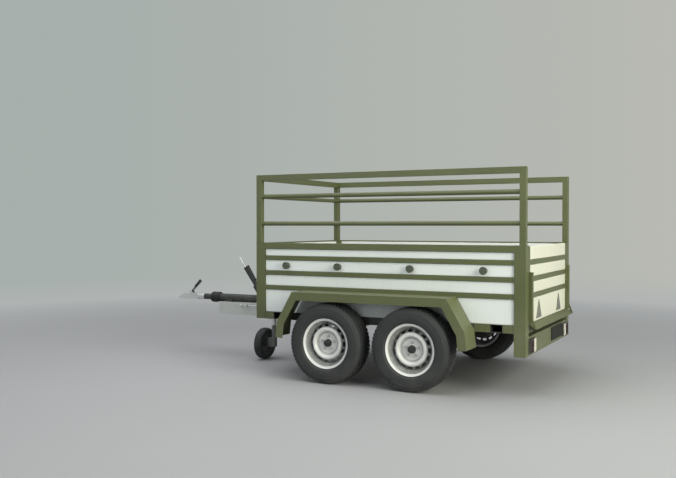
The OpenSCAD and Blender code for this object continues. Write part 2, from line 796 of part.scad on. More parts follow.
module drawbar_beam() color(beam_grey) {
    beam_z = beam_top - beam_h;
    lug_t = 8;
    difference() {
        translate([beam_front_x, -beam_w / 2, beam_z]) cube([beam_end_x - beam_front_x, beam_w, beam_h]);
        translate([beam_front_x + beam_wall, beam_wall - beam_w / 2, beam_z + beam_wall])
            cube([beam_end_x - beam_front_x, beam_w - 2 * beam_wall, beam_h - 2 * beam_wall]);
    }
    for (x = [housing_x + 340, jockey_x + 120])
        difference() {
            translate([x, brake_rod_y - 14, brake_rod_z - 14])
                cube([lug_t, -brake_rod_y - beam_w / 2 + 14, 28]);
            translate([x - eps, brake_rod_y, brake_rod_z]) rod_x(brake_rod_d + 2, lug_t + 2 * eps);
        }
}

// Tube on two saddles, with the pin that the handbrake lever turns on
module overrun_housing() color(dark) {
    saddle_w = 80;
    saddle_h = shaft_z - beam_top;
    difference() {
        union() {
            translate([housing_x, 0, shaft_z]) rod_x(housing_d, housing_len);
            for (x = [housing_x + 60, housing_x + housing_len - 140])
                translate([x, -saddle_w / 2, beam_top]) cube([saddle_w, saddle_w, saddle_h]);
        }
        translate([housing_x - eps, 0, shaft_z]) rod_x(shaft_d + 2 * run_fit, housing_len - 20);
    }
    translate([brake_pivot_x, brake_rod_y + brake_rod_d / 2 + 2, brake_pivot_z])
        rod_y(brake_pin_d, lever_yoke_y + yoke_t + 4 - brake_rod_y - brake_rod_d / 2 - 2);
}

module draw_shaft() color(dark) {
    inside_head = 80;
    translate([head_end_x - inside_head, 0, shaft_z]) rod_x(shaft_d, shaft_tail_x - head_end_x + inside_head);
    translate([head_end_x + body_gap, 0, shaft_z]) rod_x(shaft_d + 10, collar_end_x - head_end_x - body_gap);
}

// Bellows between the shaft's collar and the housing
module gaiter() color(rubber) {
    length = housing_x - collar_end_x - 2 * body_gap;
    folds = 6;
    cuff = 24;
    pitch = (length - cuff) / folds;
    outer = 54;
    root = 39;
    inner = shaft_d / 2 + 8;
    translate([collar_end_x + body_gap, 0, shaft_z]) rotate([0, 90, 0]) rotate_extrude()
        polygon(concat([[inner, 0], [root, 0]],
            [for (i = [0:folds - 1]) each [[outer, (i + 0.35) * pitch], [outer, (i + 0.65) * pitch],
                [root, (i + 1) * pitch]]],
            [[root, length], [inner, length]]));
}

// Pressed head: wedge nose with the ball socket below, sleeve for the shaft, ears for the handle
module coupling_head() color(silver) {
    nose_r = 38;
    neck_r = 32;
    top = head_z + head_h;
    ear_t = 6;
    ear_y = 18;
    difference() {
        union() {
            intersection() {
                translate([0, -nose_r - eps, 0])
                    plate_xz([[head_tip_x, head_z], [head_end_x - 70, head_z], [head_end_x - 70, top],
                        [head_tip_x + 90, top], [head_tip_x, head_z + 15]], 2 * nose_r + 2 * eps);
                translate([0, 0, head_z - eps]) linear_extrude(head_h + 2 * eps) {
                    translate([head_tip_x + nose_r, 0]) circle(nose_r);
                    polygon([[head_tip_x + nose_r, -nose_r], [head_tip_x + 150, -neck_r],
                        [head_end_x - 70, -neck_r], [head_end_x - 70, neck_r], [head_tip_x + 150, neck_r],
                        [head_tip_x + nose_r, nose_r]]);
                }
            }
            translate([head_end_x - 100, 0, shaft_z]) rod_x(head_h, 100);
            for (s = [-1, 1])
                translate([0, s * (ear_y + ear_t / 2) - ear_t / 2, 0])
                    plate_xz([[head_pin_x - 26, top - 4], [head_pin_x + 26, top - 4],
                        [head_pin_x + 12, head_pin_z + 12], [head_pin_x - 12, head_pin_z + 12]], ear_t);
            translate([head_pin_x, -ear_y - ear_t - 2, head_pin_z]) rod_y(10, 2 * (ear_y + ear_t + 2));
        }
        translate([socket_x, 0, head_z - eps]) cylinder(r = socket_r, h = socket_depth + eps);
        translate([head_end_x - 80 - body_gap, 0, shaft_z]) rod_x(shaft_d + 2 * run_fit, 200);
    }
}

// Drawn along +X from its pin, then leaned back
module coupling_handle() color([0.30, 0.31, 0.30])
    translate([head_pin_x, 0, head_pin_z]) rotate([0, -handle_lean, 0])
        difference() {
            union() {
                translate([0, -15, 0]) rod_y(20, 30);
                translate([0, -6, -8]) cube([70, 12, 16]);
                translate([55, 0, 0]) rod_x(22, 100);
                translate([155, 0, 0]) sphere(d = 22);
            }
            translate([0, -16, 0]) rod_y(10 + 2 * run_fit, 32);
        }

// Side view of one leg of the handbrake's yoke
module yoke_outline() {
    circle(d = 34);
    rotate(lever_tilt) translate([-yoke_w / 2, 0]) square([yoke_w, lever_yoke_end]);
}

// Handbrake: yoke astride the housing, grip, release rod, and a short arm beside the brake rod
module handbrake_lever() color(dark)
    translate([brake_pivot_x, 0, brake_pivot_z]) {
        arm_y = brake_rod_y + brake_rod_d / 2 + 4;
        arm_t = 5;
        bridge_w = 24;
        bridge_t = 10;
        difference() {
            union() {
                for (y = [-lever_yoke_y - yoke_t, lever_yoke_y])
                    translate([0, y, 0]) plate_of(yoke_t) yoke_outline();
                rotate([0, -lever_tilt, 0]) {
                    translate([-bridge_w / 2, -lever_yoke_y - yoke_t / 2, lever_yoke_end - 2 - bridge_t])
                        cube([bridge_w, 2 * lever_yoke_y + yoke_t, bridge_t]);
                    translate([0, 0, lever_yoke_end - 2 - bridge_t / 2])
                        cylinder(d = grip_d, h = lever_grip_end - lever_yoke_end + 2 + bridge_t / 2);
                }
                translate([0, arm_y, 0]) plate_of(arm_t) {
                    circle(d = 30);
                    translate([-10, -brake_arm]) square([20, brake_arm]);
                }
                translate([0, arm_y + arm_t - eps, 0])
                    rod_y(26, -arm_y - arm_t - lever_yoke_y - yoke_t + 2 * eps);
            }
            translate([0, brake_rod_y, 0]) rod_y(brake_pin_d + 2 * run_fit, -2 * brake_rod_y);
            rotate([0, -lever_tilt, 0]) translate([0, 0, lever_grip_end - 80])
                cylinder(d = release_d + 2 * run_fit, h = 80 + eps);
        }
    }

module release_rod() color(silver)
    translate([brake_pivot_x, 0, brake_pivot_z]) rotate([0, -lever_tilt, 0])
        translate([0, 0, lever_grip_end - 60]) {
            cylinder(d = release_d, h = lever_rod_end - lever_grip_end + 48);
            translate([0, 0, lever_rod_end - lever_grip_end + 46]) cylinder(d = release_d + 6, h = 14);
        }

module brake_rod() color(zinc) {
    nub_d = 24;
    translate([brake_rod_x, brake_rod_y, brake_rod_z]) {
        rod_x(brake_rod_d, brake_rod_len);
        translate([-14, 0, 0]) rod_x(nub_d, 28);
        translate([brake_rod_len - 12, -40, -10]) cube([10, 58, 20]);
    }
}

// Jockey wheel

module jockey_axis() translate([jockey_x, jockey_y, 0]) children();

module jockey_clamp() color(dark) {
    clamp_r = jockey_tube_d / 2 + body_gap;
    jockey_axis()
        difference() {
            union() {
                translate([0, 0, clamp_z]) cylinder(r = clamp_r + 10, h = clamp_h);
                translate([-30, 0, clamp_z]) cube([60, -jockey_y - beam_w / 2, clamp_h]);
                translate([-16, -clamp_r - 28, clamp_z + 15]) cube([32, 28, clamp_h - 30]);
            }
            translate([0, 0, clamp_z - eps]) cylinder(r = clamp_r, h = clamp_h + 2 * eps);
            translate([0, -clamp_r - 30, clamp_z + clamp_h / 2]) rod_y(clamp_screw_d + 2 * run_fit, 32);
        }
}

module clamp_handle() color(zinc)
    jockey_axis() {
        tip = jockey_tube_d / 2 + body_gap + 2;
        translate([0, -tip - 60, clamp_z + clamp_h / 2]) {
            rod_y(clamp_screw_d, 60);
            translate([0, 6, -55]) cylinder(d = 12, h = 110);
        }
    }

// Outer tube with a cap that the crank's screw turns in
module jockey_tube() color(zinc)
    jockey_axis() translate([0, 0, jockey_tube_z])
        difference() {
            cylinder(d = jockey_tube_d, h = jockey_tube_len);
            translate([0, 0, -eps]) cylinder(d = jockey_tube_bore, h = jockey_tube_len - 10 + eps);
            cylinder(d = screw_d + 2 * run_fit, h = jockey_tube_len + eps);
        }

// Inner tube with the nut at its top, and the spindle that the fork swivels on
module jockey_stem() color(zinc)
    jockey_axis() {
        stem_z = fork_top + 10;
        stem_top = jockey_tube_z + jockey_tube_len - 62;
        difference() {
            translate([0, 0, stem_z]) cylinder(d = stem_d, h = stem_top - stem_z);
            translate([0, 0, stem_z + 18]) cylinder(d = stem_d - 12, h = stem_top - stem_z - 34);
            translate([0, 0, stem_z + 18]) cylinder(d = screw_d + 2 * body_gap, h = stem_top);
        }
        translate([0, 0, fork_top - 20]) cylinder(d = spindle_d, h = 31);
        translate([0, 0, fork_top - 24]) cylinder(d = spindle_d + 10, h = 7);
    }

module jockey_fork() color([0.40, 0.41, 0.40])
    jockey_axis() {
        leg_d = 52;
        leg_z = jockey_wheel_z - 26;
        arm_w = 56;
        arm_h = 86;
        arm_x = jockey_w / 2 + 4 - jockey_offset;
        axle_x = arm_x - jockey_w - 12;
        axle_d = 16;
        difference() {
            union() {
                translate([0, 0, leg_z]) cylinder(d = leg_d, h = fork_top - leg_z);
                translate([arm_x, -arm_w / 2, leg_z]) cube([-arm_x, arm_w, arm_h]);
                translate([axle_x, 0, jockey_wheel_z]) rod_x(axle_d, arm_x - axle_x + 2);
                translate([axle_x - 4, 0, jockey_wheel_z]) rod_x(axle_d + 14, 8);
            }
            translate([0, 0, fork_top - 40]) cylinder(d = spindle_d + 2 * run_fit, h = 60);
            translate([0, 0, fork_top - 30]) cylinder(d = spindle_d + 12, h = 18);
        }
    }

module at_jockey_wheel()
    translate([jockey_wheel_x, jockey_y, jockey_wheel_z]) rotate([0, 90, 0]) rotate_extrude() children();

module jockey_rim() color([0.55, 0.56, 0.55]) {
    r = jockey_od / 2;
    at_jockey_wheel()
        polygon([[8 + run_fit, -38], [22, -38], [24, -12], [r - 62, -8], [r - 56, -30], [r - 48, -30],
            [r - 48, 30], [r - 56, 30], [r - 62, 8], [24, 12], [22, 38], [8 + run_fit, 38]]);
}

module jockey_tyre() color(rubber) {
    r = jockey_od / 2;
    w = jockey_w / 2;
    at_jockey_wheel()
        polygon([[r - 47.9, -w + 12], [r - 40, -w], [r - 14, -w], [r - 4, -w + 9], [r, -w + 22], [r, w - 22],
            [r - 4, w - 9], [r - 14, w], [r - 40, w], [r - 47.9, w - 12]]);
}

// Crank: lead screw inside the tube, arm and upright grip
module jockey_crank() color(zinc)
    jockey_axis() {
        arm = 105;
        top = jockey_tube_z + jockey_tube_len;
        translate([0, 0, jockey_tube_z + 2]) cylinder(d = screw_d, h = jockey_tube_len + 30);
        translate([-12, -arm, top + 20]) cube([24, arm + 12, 8]);
        translate([0, 8 - arm, top + 28]) cylinder(d = 24, h = 70);
    }

// Moves the trailer so that the origin is under the middle of its box
module placed() translate([frame_shift, 0, 0]) children();

placed() sill_rails();
placed() chassis_rails();
placed() cross_members();
placed() drawbar_beam();
placed() corner_posts();
placed() belt_rails();
placed() board_ribs();
placed() wall_boards();
placed() inner_lining();
placed() floor_deck();
placed() cage_posts();
placed() cage_top_rails();
placed() cage_tube_rails();
placed() mudguard_left();
placed() mudguard_right();
placed() axle_tubes();
placed() tie_knobs();
placed() rear_beam();
placed() lamp_housings();
placed() lamp_lenses();
placed() plate_panel();
placed() hinge_brackets();
placed() overrun_housing();
placed() jockey_clamp();
placed() tailgate_frame();
placed() tailgate_boards();
placed() tailgate_lip();
placed() reflectors();
placed() latch_bolt_left();
placed() latch_bolt_right();
placed() draw_shaft();
placed() gaiter();
placed() coupling_head();
placed() coupling_handle();
placed() handbrake_lever();
placed() release_rod();
placed() brake_rod();
placed() jockey_tube();
placed() jockey_stem();
placed() jockey_fork();
placed() jockey_rim();
placed() jockey_tyre();
placed() jockey_crank();
placed() clamp_handle();
for (a = axle_names) {
    placed() tyre(a);
    placed() rim(a);
    placed() hub(a);
    placed() swing_arm(a);
}
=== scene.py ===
import json
import math

import bmesh
import bpy
import numpy as np
from mathutils import Matrix, Vector

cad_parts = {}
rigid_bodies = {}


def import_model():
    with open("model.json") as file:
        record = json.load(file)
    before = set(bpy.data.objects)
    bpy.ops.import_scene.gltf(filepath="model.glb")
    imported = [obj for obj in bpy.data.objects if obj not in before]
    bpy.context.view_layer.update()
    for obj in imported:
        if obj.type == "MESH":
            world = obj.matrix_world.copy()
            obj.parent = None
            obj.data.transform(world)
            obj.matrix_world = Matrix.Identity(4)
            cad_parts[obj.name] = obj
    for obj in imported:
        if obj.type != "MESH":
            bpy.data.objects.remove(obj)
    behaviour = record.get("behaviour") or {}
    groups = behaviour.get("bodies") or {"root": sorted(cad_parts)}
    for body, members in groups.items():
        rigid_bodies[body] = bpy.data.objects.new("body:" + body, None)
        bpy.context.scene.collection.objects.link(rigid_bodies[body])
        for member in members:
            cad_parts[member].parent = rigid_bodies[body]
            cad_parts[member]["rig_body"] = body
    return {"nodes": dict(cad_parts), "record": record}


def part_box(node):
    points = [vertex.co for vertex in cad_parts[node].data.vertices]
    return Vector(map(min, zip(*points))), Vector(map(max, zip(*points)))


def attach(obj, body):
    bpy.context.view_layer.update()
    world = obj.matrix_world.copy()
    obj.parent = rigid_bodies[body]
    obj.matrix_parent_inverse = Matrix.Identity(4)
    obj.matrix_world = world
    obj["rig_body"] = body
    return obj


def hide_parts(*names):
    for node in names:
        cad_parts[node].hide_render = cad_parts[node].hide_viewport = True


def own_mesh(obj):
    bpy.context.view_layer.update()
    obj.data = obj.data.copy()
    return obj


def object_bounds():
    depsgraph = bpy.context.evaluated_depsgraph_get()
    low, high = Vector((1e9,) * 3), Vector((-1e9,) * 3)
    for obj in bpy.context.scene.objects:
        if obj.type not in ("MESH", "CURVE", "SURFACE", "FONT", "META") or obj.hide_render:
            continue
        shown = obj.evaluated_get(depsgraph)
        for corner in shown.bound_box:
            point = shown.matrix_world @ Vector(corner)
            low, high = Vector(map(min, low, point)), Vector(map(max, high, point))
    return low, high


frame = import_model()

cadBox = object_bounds()
record = frame["record"]
nodes = frame["nodes"]
wheelNames = ["front_left", "front_right", "rear_left", "rear_right"]
helpers = []                                    # objects that only lend their shape, removed at the end


# camera, light and ground

cameraSet = {"place": (3.503, -6.835, 1.307), "tilt": 89.062, "turn": 27.695, "lens": 43.25, "sensor": 36.0}

cameraData = bpy.data.cameras.new("camera")
cameraData.lens, cameraData.sensor_width = cameraSet["lens"], cameraSet["sensor"]
cameraData.clip_start, cameraData.clip_end = 0.05, 200
camera = bpy.data.objects.new("camera", cameraData)
camera.location = cameraSet["place"]
camera.rotation_euler = (math.radians(cameraSet["tilt"]), 0, math.radians(cameraSet["turn"]))
bpy.context.scene.collection.objects.link(camera)
bpy.context.scene.camera = camera
bpy.context.scene.view_settings.view_transform = "Standard"

lamps = {
    "overhead": {"at": (-0.6, -1.0, 6.4), "aim": (0, 0, 0.5), "size": (8.0, 6.0),
                 "watts": 455, "tint": (0.99, 0.99, 1.0)},
    "rearSide": {"at": (7.5, -3.2, 3.2), "aim": (0.8, 0, 0.8), "size": (4.0, 4.0),
                 "watts": 690, "tint": (1.0, 0.99, 0.84)},
    "nearSide": {"at": (-2.5, -8.5, 4.0), "aim": (0, 0, 0.7), "size": (6.0, 4.0),
                 "watts": 120, "tint": (0.93, 0.98, 1.0)},
}
worldLight = {"tint": (0.80, 0.83, 0.82), "strength": 0.46}


def addLamp(name, spec):
    data = bpy.data.lights.new(name, "AREA")
    data.shape = "RECTANGLE"
    data.size, data.size_y = spec["size"]
    data.energy, data.color = spec["watts"], spec["tint"]
    lamp = bpy.data.objects.new(name, data)
    lamp.location = spec["at"]
    lamp.rotation_euler = (Vector(spec["aim"]) - Vector(spec["at"])).to_track_quat("-Z", "Y").to_euler()
    bpy.context.scene.collection.objects.link(lamp)


for lampName, lampSpec in lamps.items():
    addLamp(lampName, lampSpec)
world = bpy.data.worlds.new("studio")
world.use_nodes = True
world.node_tree.nodes["Background"].inputs["Color"].default_value = (*worldLight["tint"], 1)
world.node_tree.nodes["Background"].inputs["Strength"].default_value = worldLight["strength"]
bpy.context.scene.world = world


# small helpers for node trees

class Tree:
    # a thin layer over a node tree, so that a material reads from top to bottom
    def __init__(self, tree):
        self.tree = tree

    def add(self, kind, inputs=None, **settings):
        node = self.tree.nodes.new(kind)
        for name, value in settings.items():
            setattr(node, name, value)
        for name, value in (inputs or {}).items():
            socket = node.inputs[name]
            if isinstance(value, bpy.types.NodeSocket):
                self.tree.links.new(value, socket)
            else:
                socket.default_value = value
        return node

    def math(self, operation, a, b=0.0, c=0.0):
        return self.add("ShaderNodeMath", {0: a, 1: b, 2: c}, operation=operation).outputs[0]

    def ramp(self, value, low, high, fromValue=0.0, toValue=1.0):
        return self.add("ShaderNodeMapRange", {"Value": value, "From Min": low, "From Max": high,
                                               "To Min": fromValue, "To Max": toValue}).outputs[0]

    def mix(self, share, a, b):
        node = self.add("ShaderNodeMix", data_type="RGBA")
        for index, value in ((0, share), (6, a), (7, b)):
            if isinstance(value, bpy.types.NodeSocket):
                self.tree.links.new(value, node.inputs[index])
            else:
                node.inputs[index].default_value = value if index == 0 else (*value, 1)
        return node.outputs[2]

    def noise(self, place, scale, detail=3.0, rough=0.55):
        return self.add("ShaderNodeTexNoise", {"Vector": place, "Scale": scale, "Detail": detail,
                                               "Roughness": rough}).outputs["Fac"]

    def stretched(self, place, scale):
        return self.add("ShaderNodeMapping", {"Vector": place, "Scale": scale}).outputs[0]

    def waves(self, place, scale, ways):
        return [self.add("ShaderNodeTexWave", {"Vector": place, "Scale": scale},
                         bands_direction=way).outputs["Fac"] for way in ways]

    def attribute(self, name):
        return self.add("ShaderNodeAttribute", attribute_name=name).outputs["Fac"]

    def height(self, place):
        return self.add("ShaderNodeSeparateXYZ", {0: place}).outputs[2]


def newMaterial(name, metallic=0.0, **shader):
    material = bpy.data.materials.new(name)
    material.use_nodes = True
    tree = Tree(material.node_tree)
    surface = material.node_tree.nodes["Principled BSDF"]
    surface.inputs["Metallic"].default_value = metallic
    for key, value in shader.items():
        surface.inputs[key.replace("_", " ")].default_value = value
    place = tree.add("ShaderNodeTexCoord").outputs["Object"]
    return material, tree, surface, place


def connect(tree, surface, colour=None, roughness=None, height=None, depth=0.001, strength=0.6):
    if colour is not None:
        tree.tree.links.new(colour, surface.inputs["Base Color"])
    if roughness is not None:
        tree.tree.links.new(roughness, surface.inputs["Roughness"])
    if height is not None:
        bump = tree.add("ShaderNodeBump", {"Height": height, "Distance": depth, "Strength": strength})
        tree.tree.links.new(bump.outputs[0], surface.inputs["Normal"])


def shade(colour, factor):
    return tuple(min(1.0, c * factor) for c in colour)


# materials

def paint(name, colour, worn, gloss=0.42, dust=0.25, dustColour=(0.30, 0.29, 0.25), grime=0.0):
    # brushed-on satin paint: slight mottling, orange peel, dust low down and wear on the edges
    material, tree, surface, place = newMaterial(name)
    mottle = tree.noise(place, 3.2, 5)
    fine = tree.noise(place, 46, 4)
    base = tree.mix(tree.ramp(mottle, 0.3, 0.7), shade(colour, 0.92), shade(colour, 1.08))
    base = tree.mix(tree.ramp(fine, 0.42, 0.62, 0.0, 0.10), base, shade(colour, 1.25))
    low = tree.ramp(tree.height(place), 0.75, 0.15, 0.0, dust)
    dusty = tree.math("MULTIPLY", low, tree.ramp(tree.noise(place, 7, 6, 0.65), 0.35, 0.7))
    base = tree.mix(dusty, base, dustColour)
    if grime:                                   # painted shade with brake dust: darker where the mesh marks the rim's channel and dish
        shadeAndBrakeDust = tree.attribute("brakeDustAndShade")
        patch = tree.ramp(tree.noise(place, 21, 5, 0.6), 0.25, 0.6, 0.72, 1.0)
        shadeAndBrakeDust = tree.math("MULTIPLY", shadeAndBrakeDust, tree.math("MULTIPLY", patch, grime))
        base = tree.mix(shadeAndBrakeDust, base, (0.085, 0.085, 0.082))
    edge = tree.attribute("edgeWearAndHighlight")
    chips = tree.ramp(tree.noise(place, 60, 5, 0.7), 0.52, 0.66)
    rubbed = tree.math("MULTIPLY", edge, tree.math("MULTIPLY", chips, 0.55))
    base = tree.mix(rubbed, base, worn)
    sheen = tree.ramp(mottle, 0.2, 0.8, gloss - 0.05, gloss + 0.07)
    rough = tree.math("ADD", sheen, tree.math("MULTIPLY", dusty, 0.3))
    peel = tree.noise(place, 520, 2)
    relief = tree.math("ADD", peel, tree.math("MULTIPLY", chips, edge))
    connect(tree, surface, base, rough, relief, 0.0003, 0.35)
    return material


def boardFace(name, colour, gloss=0.34):
    # white-faced panel: faint grain along its length, rain streaks and a soft dirt line near its foot
    material, tree, surface, place = newMaterial(name)
    grain = tree.noise(tree.stretched(place, (1.2, 1.2, 60)), 5, 4)
    cloud = tree.noise(place, 1.7, 4)
    streak = tree.noise(tree.stretched(place, (26, 26, 1.1)), 1.6, 5, 0.62)
    base = tree.mix(tree.ramp(cloud, 0.3, 0.7), shade(colour, 0.965), shade(colour, 1.02))
    base = tree.mix(tree.ramp(grain, 0.35, 0.7, 0.0, 0.10), base, shade(colour, 0.86))
    foot = tree.ramp(tree.height(place), 1.15, 0.55, 0.15, 1.0)
    run = tree.math("MULTIPLY", tree.ramp(streak, 0.52, 0.75, 0.0, 0.22), foot)
    base = tree.mix(run, base, (0.42, 0.41, 0.36))
    # painted highlight: the rounded edges of the boards are made lighter
    edge = tree.attribute("edgeWearAndHighlight")
    base = tree.mix(tree.math("MULTIPLY", edge, 0.35), base, shade(colour, 1.12))
    connect(tree, surface, base, tree.ramp(cloud, 0.25, 0.75, gloss - 0.05, gloss + 0.09),
            tree.math("ADD", grain, tree.noise(place, 260, 2)), 0.0003, 0.3)
    return material


def metal(name, colour, roughness=0.38, grain=(180, 8, 8), tarnish=0.18, metallic=0.85):
    # plated or bare steel: drawn grain, blotchy tarnish, brighter edges
    material, tree, surface, place = newMaterial(name, metallic)
    drawn = tree.noise(tree.stretched(place, grain), 3, 3)
    blotch = tree.noise(place, 14, 6, 0.65)
    base = tree.mix(tree.ramp(drawn, 0.3, 0.7), shade(colour, 0.9), shade(colour, 1.08))
    base = tree.mix(tree.ramp(blotch, 0.5, 0.75, 0.0, tarnish), base, shade(colour, 0.45))
    edge = tree.attribute("edgeWearAndHighlight")
    base = tree.mix(tree.math("MULTIPLY", edge, 0.4), base, shade(colour, 1.25))
    connect(tree, surface, base, tree.ramp(blotch, 0.3, 0.75, roughness - 0.06, roughness + 0.14),
            tree.math("ADD", drawn, blotch), 0.0002, 0.3)
    return material


def rubber(name, colour, roughness=0.72, dust=0.3):
    # matt rubber with fine pores, moulding haze and dust in the low places
    material, tree, surface, place = newMaterial(name)
    haze = tree.noise(place, 9, 5, 0.6)
    pores = tree.noise(place, 700, 2)
    base = tree.mix(tree.ramp(haze, 0.35, 0.7), shade(colour, 0.85), shade(colour, 1.2))
    near = tree.ramp(tree.height(place), 0.30, 0.0, 0.0, dust)
    low = tree.math("MULTIPLY", near, tree.ramp(haze, 0.4, 0.7))
    base = tree.mix(low, base, (0.16, 0.15, 0.13))
    connect(tree, surface, base, tree.ramp(haze, 0.3, 0.75, roughness - 0.08, roughness + 0.1),
            tree.math("ADD", pores, haze), 0.0004, 0.35)
    return material


def lensPlastic(name, colour):
    # moulded lens with a small square prism pattern behind a clear face
    material, tree, surface, place = newMaterial(name, Roughness=0.12, Coat_Weight=0.6, Coat_Roughness=0.05)
    prism = tree.math("MULTIPLY", *tree.waves(place, 55.0, "YZ"))
    base = tree.mix(tree.ramp(prism, 0.1, 0.7), shade(colour, 0.55), shade(colour, 1.35))
    connect(tree, surface, base, None, prism, 0.0015, 0.7)
    return material


def deckPly(name):
    # film-faced floor board with a pressed wire-mesh pattern, scuffed along the middle
    material, tree, surface, place = newMaterial(name)
    mesh = tree.math("MAXIMUM", *tree.waves(place, 40.0, "XY"))
    scuff = tree.noise(tree.stretched(place, (1.4, 5, 5)), 3, 7, 0.65)
    base = tree.mix(tree.ramp(scuff, 0.35, 0.72), (0.085, 0.050, 0.028), (0.20, 0.135, 0.080))
    base = tree.mix(tree.ramp(mesh, 0.6, 1.0, 0.0, 0.35), base, (0.045, 0.028, 0.018))
    connect(tree, surface, base, tree.ramp(scuff, 0.3, 0.75, 0.42, 0.72), mesh, 0.0012, 0.6)
    return material


olive = (0.080, 0.092, 0.036)
finishes = {
    "olive": paint("olivePaint", olive, (0.28, 0.29, 0.24), 0.40, 0.22),
    "black_steel": paint("chassisBlack", (0.018, 0.020, 0.018), (0.16, 0.16, 0.15), 0.46, 0.35),
    "beam_grey": paint("beamGrey", (0.46, 0.48, 0.46), (0.50, 0.50, 0.48), 0.50, 0.2),
    "fork_grey": paint("forkGrey", (0.085, 0.092, 0.086), (0.3, 0.3, 0.3), 0.45, 0.2),
    "white_board": boardFace("boardWhite", (0.65, 0.69, 0.685)),
    # painted light: the same white board, darker to offset the strong lamp on the tailgate side and tinted
    # with that lamp's warm colour
    "gateBoard": boardFace("gateBoard", (0.57, 0.575, 0.485)),
    "floor_ply": deckPly("deckPly"),
    "zinc": metal("zincPlate", (0.55, 0.56, 0.55)),
    "bright": metal("brightZinc", (0.72, 0.73, 0.72), 0.32, (8, 160, 160), 0.1),
    "knob": paint("knobOlive", (0.055, 0.066, 0.045), (0.12, 0.13, 0.10), 0.52, 0.0),
    "lens": lensPlastic("tailRed", (0.026, 0.008, 0.005)),
    "plateBlack": rubber("plateBlack", (0.006, 0.006, 0.006), 0.85, 0.1),
    "clearLens": lensPlastic("clearLens", (0.62, 0.61, 0.53)),
    "reflector": lensPlastic("reflectorFace", (0.17, 0.175, 0.13)),
    "bellows": rubber("bellowsRubber", (0.016, 0.017, 0.017), 0.62, 0.0),
    # the wheel silver gets painted shade, with brake dust, in the rim's channel and round its dish
    "wheel_silver": paint("wheelSilver", (0.60, 0.61, 0.60), (0.72, 0.72, 0.72), 0.32, 0.05, grime=0.86),
    "jockeyGrey": paint("jockeyGrey", (0.045, 0.047, 0.047), (0.2, 0.2, 0.2), 0.42, 0.2),
    "hub_iron": metal("hubIron", (0.10, 0.10, 0.10), 0.55, (20, 20, 20), 0.4, 0.55),
    "tyre": rubber("tyreRubber", (0.021, 0.023, 0.024), dust=0.2),
    "capBlack": rubber("capBlack", (0.018, 0.019, 0.020), 0.42, 0.0),
}
print("materials ready:", len(finishes))


# shapes

def newPiece(name, mesh, finish, body, slot, *replaced):
    piece = bpy.data.objects.new(name, mesh)
    bpy.context.scene.collection.objects.link(piece)
    if not mesh.materials:
        mesh.materials.append(finishes[finish])
    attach(piece, body)
    if replaced:
        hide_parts(*replaced)
    return piece


def evenNormals(piece):
    # large flat faces keep their own normal beside small rounded edges
    modifier = piece.modifiers.new("evenNormals", "WEIGHTED_NORMAL")
    modifier.keep_sharp = True


def meshFrom(name, build, sharp=32):
    bm = bmesh.new()
    build(bm)
    mesh = bpy.data.meshes.new(name)
    bm.to_mesh(mesh)
    bm.free()
    mesh.polygons.foreach_set("use_smooth", [True] * len(mesh.polygons))
    mesh.set_sharp_from_angle(angle=math.radians(sharp))
    return mesh


def roundEdges(bm, width, segments, angle=28):
    # rounds every edge sharper than the angle and marks the new faces for the wear in the paint and the
    # painted highlight on the boards
    wear = bm.faces.layers.float.get("edgeWearAndHighlight") or bm.faces.layers.float.new("edgeWearAndHighlight")
    sharp = [e for e in bm.edges if len(e.link_faces) == 2 and e.calc_face_angle(0) > math.radians(angle)]
    made = bmesh.ops.bevel(bm, geom=sharp, offset=width, offset_type="OFFSET", segments=segments, profile=0.5,
                           affect="EDGES", clamp_overlap=True, loop_slide=True)
    for face in made["faces"]:
        face[wear] = 1.0


def softened(node, finish, width, segments):
    # the node's own shape with merged faces and rounded edges, in the node's place
    source = nodes[node]

    def build(bm):
        bm.from_mesh(source.data)
        bmesh.ops.remove_doubles(bm, verts=bm.verts, dist=0.00002)
        bmesh.ops.dissolve_limit(bm, angle_limit=math.radians(0.5), verts=bm.verts, edges=bm.edges)
        roundEdges(bm, width, segments)

    name = "".join(w if i == 0 else w.capitalize() for i, w in enumerate(node.split("_")))
    evenNormals(newPiece(name, meshFrom(name, build), finish, source["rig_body"], slotOf[node], node))


slotOf = {part["node"]: part["material_slot"] for part in record["subparts"]}


def turn(bm, profile, segments=64, closed=True):
    # spins (radius, height) points about Z; a closed profile gives a ring, an open one ends on the axis
    rings = []
    for radius, height in profile:
        if radius < 1e-6:
            rings.append([bm.verts.new((0, 0, height))])
            continue
        rings.append([bm.verts.new((radius * math.cos(a), radius * math.sin(a), height))
                      for a in np.linspace(0, 2 * math.pi, segments, endpoint=False)])
    pairs = list(zip(rings, rings[1:])) + ([(rings[-1], rings[0])] if closed else [])
    for low, high in pairs:
        for i in range(segments):
            k = (i + 1) % segments
            if len(low) == 1 and len(high) == 1:
                break
            if len(low) == 1:
                bm.faces.new((low[0], high[k], high[i]))
            elif len(high) == 1:
                bm.faces.new((low[i], low[k], high[0]))
            else:
                bm.faces.new((low[i], low[k], high[k], high[i]))
    bmesh.ops.recalc_face_normals(bm, faces=bm.faces)


def turned(name, profile, segments=64, closed=True, sharp=32):
    return meshFrom(name, lambda bm: turn(bm, profile, segments, closed), sharp)


def sweep(bm, path, radii, sides=16):
    # a round bar of changing radius along a smooth path, closed at both ends
    path = [Vector(p) for p in path]
    rings = []
    side = None
    for i, point in enumerate(path):
        ahead = (path[min(i + 1, len(path) - 1)] - path[max(i - 1, 0)]).normalized()
        if side is None:
            side = ahead.orthogonal().normalized()
        side = (side - ahead * side.dot(ahead)).normalized()
        other = ahead.cross(side)
        rings.append([bm.verts.new(point + (side * math.cos(a) + other * math.sin(a)) * radii[i])
                      for a in np.linspace(0, 2 * math.pi, sides, endpoint=False)])
    for low, high in zip(rings, rings[1:]):
        for i in range(sides):
            k = (i + 1) % sides
            bm.faces.new((low[i], low[k], high[k], high[i]))
    bm.faces.new(rings[0][::-1])
    bm.faces.new(rings[-1])
    bmesh.ops.recalc_face_normals(bm, faces=bm.faces)


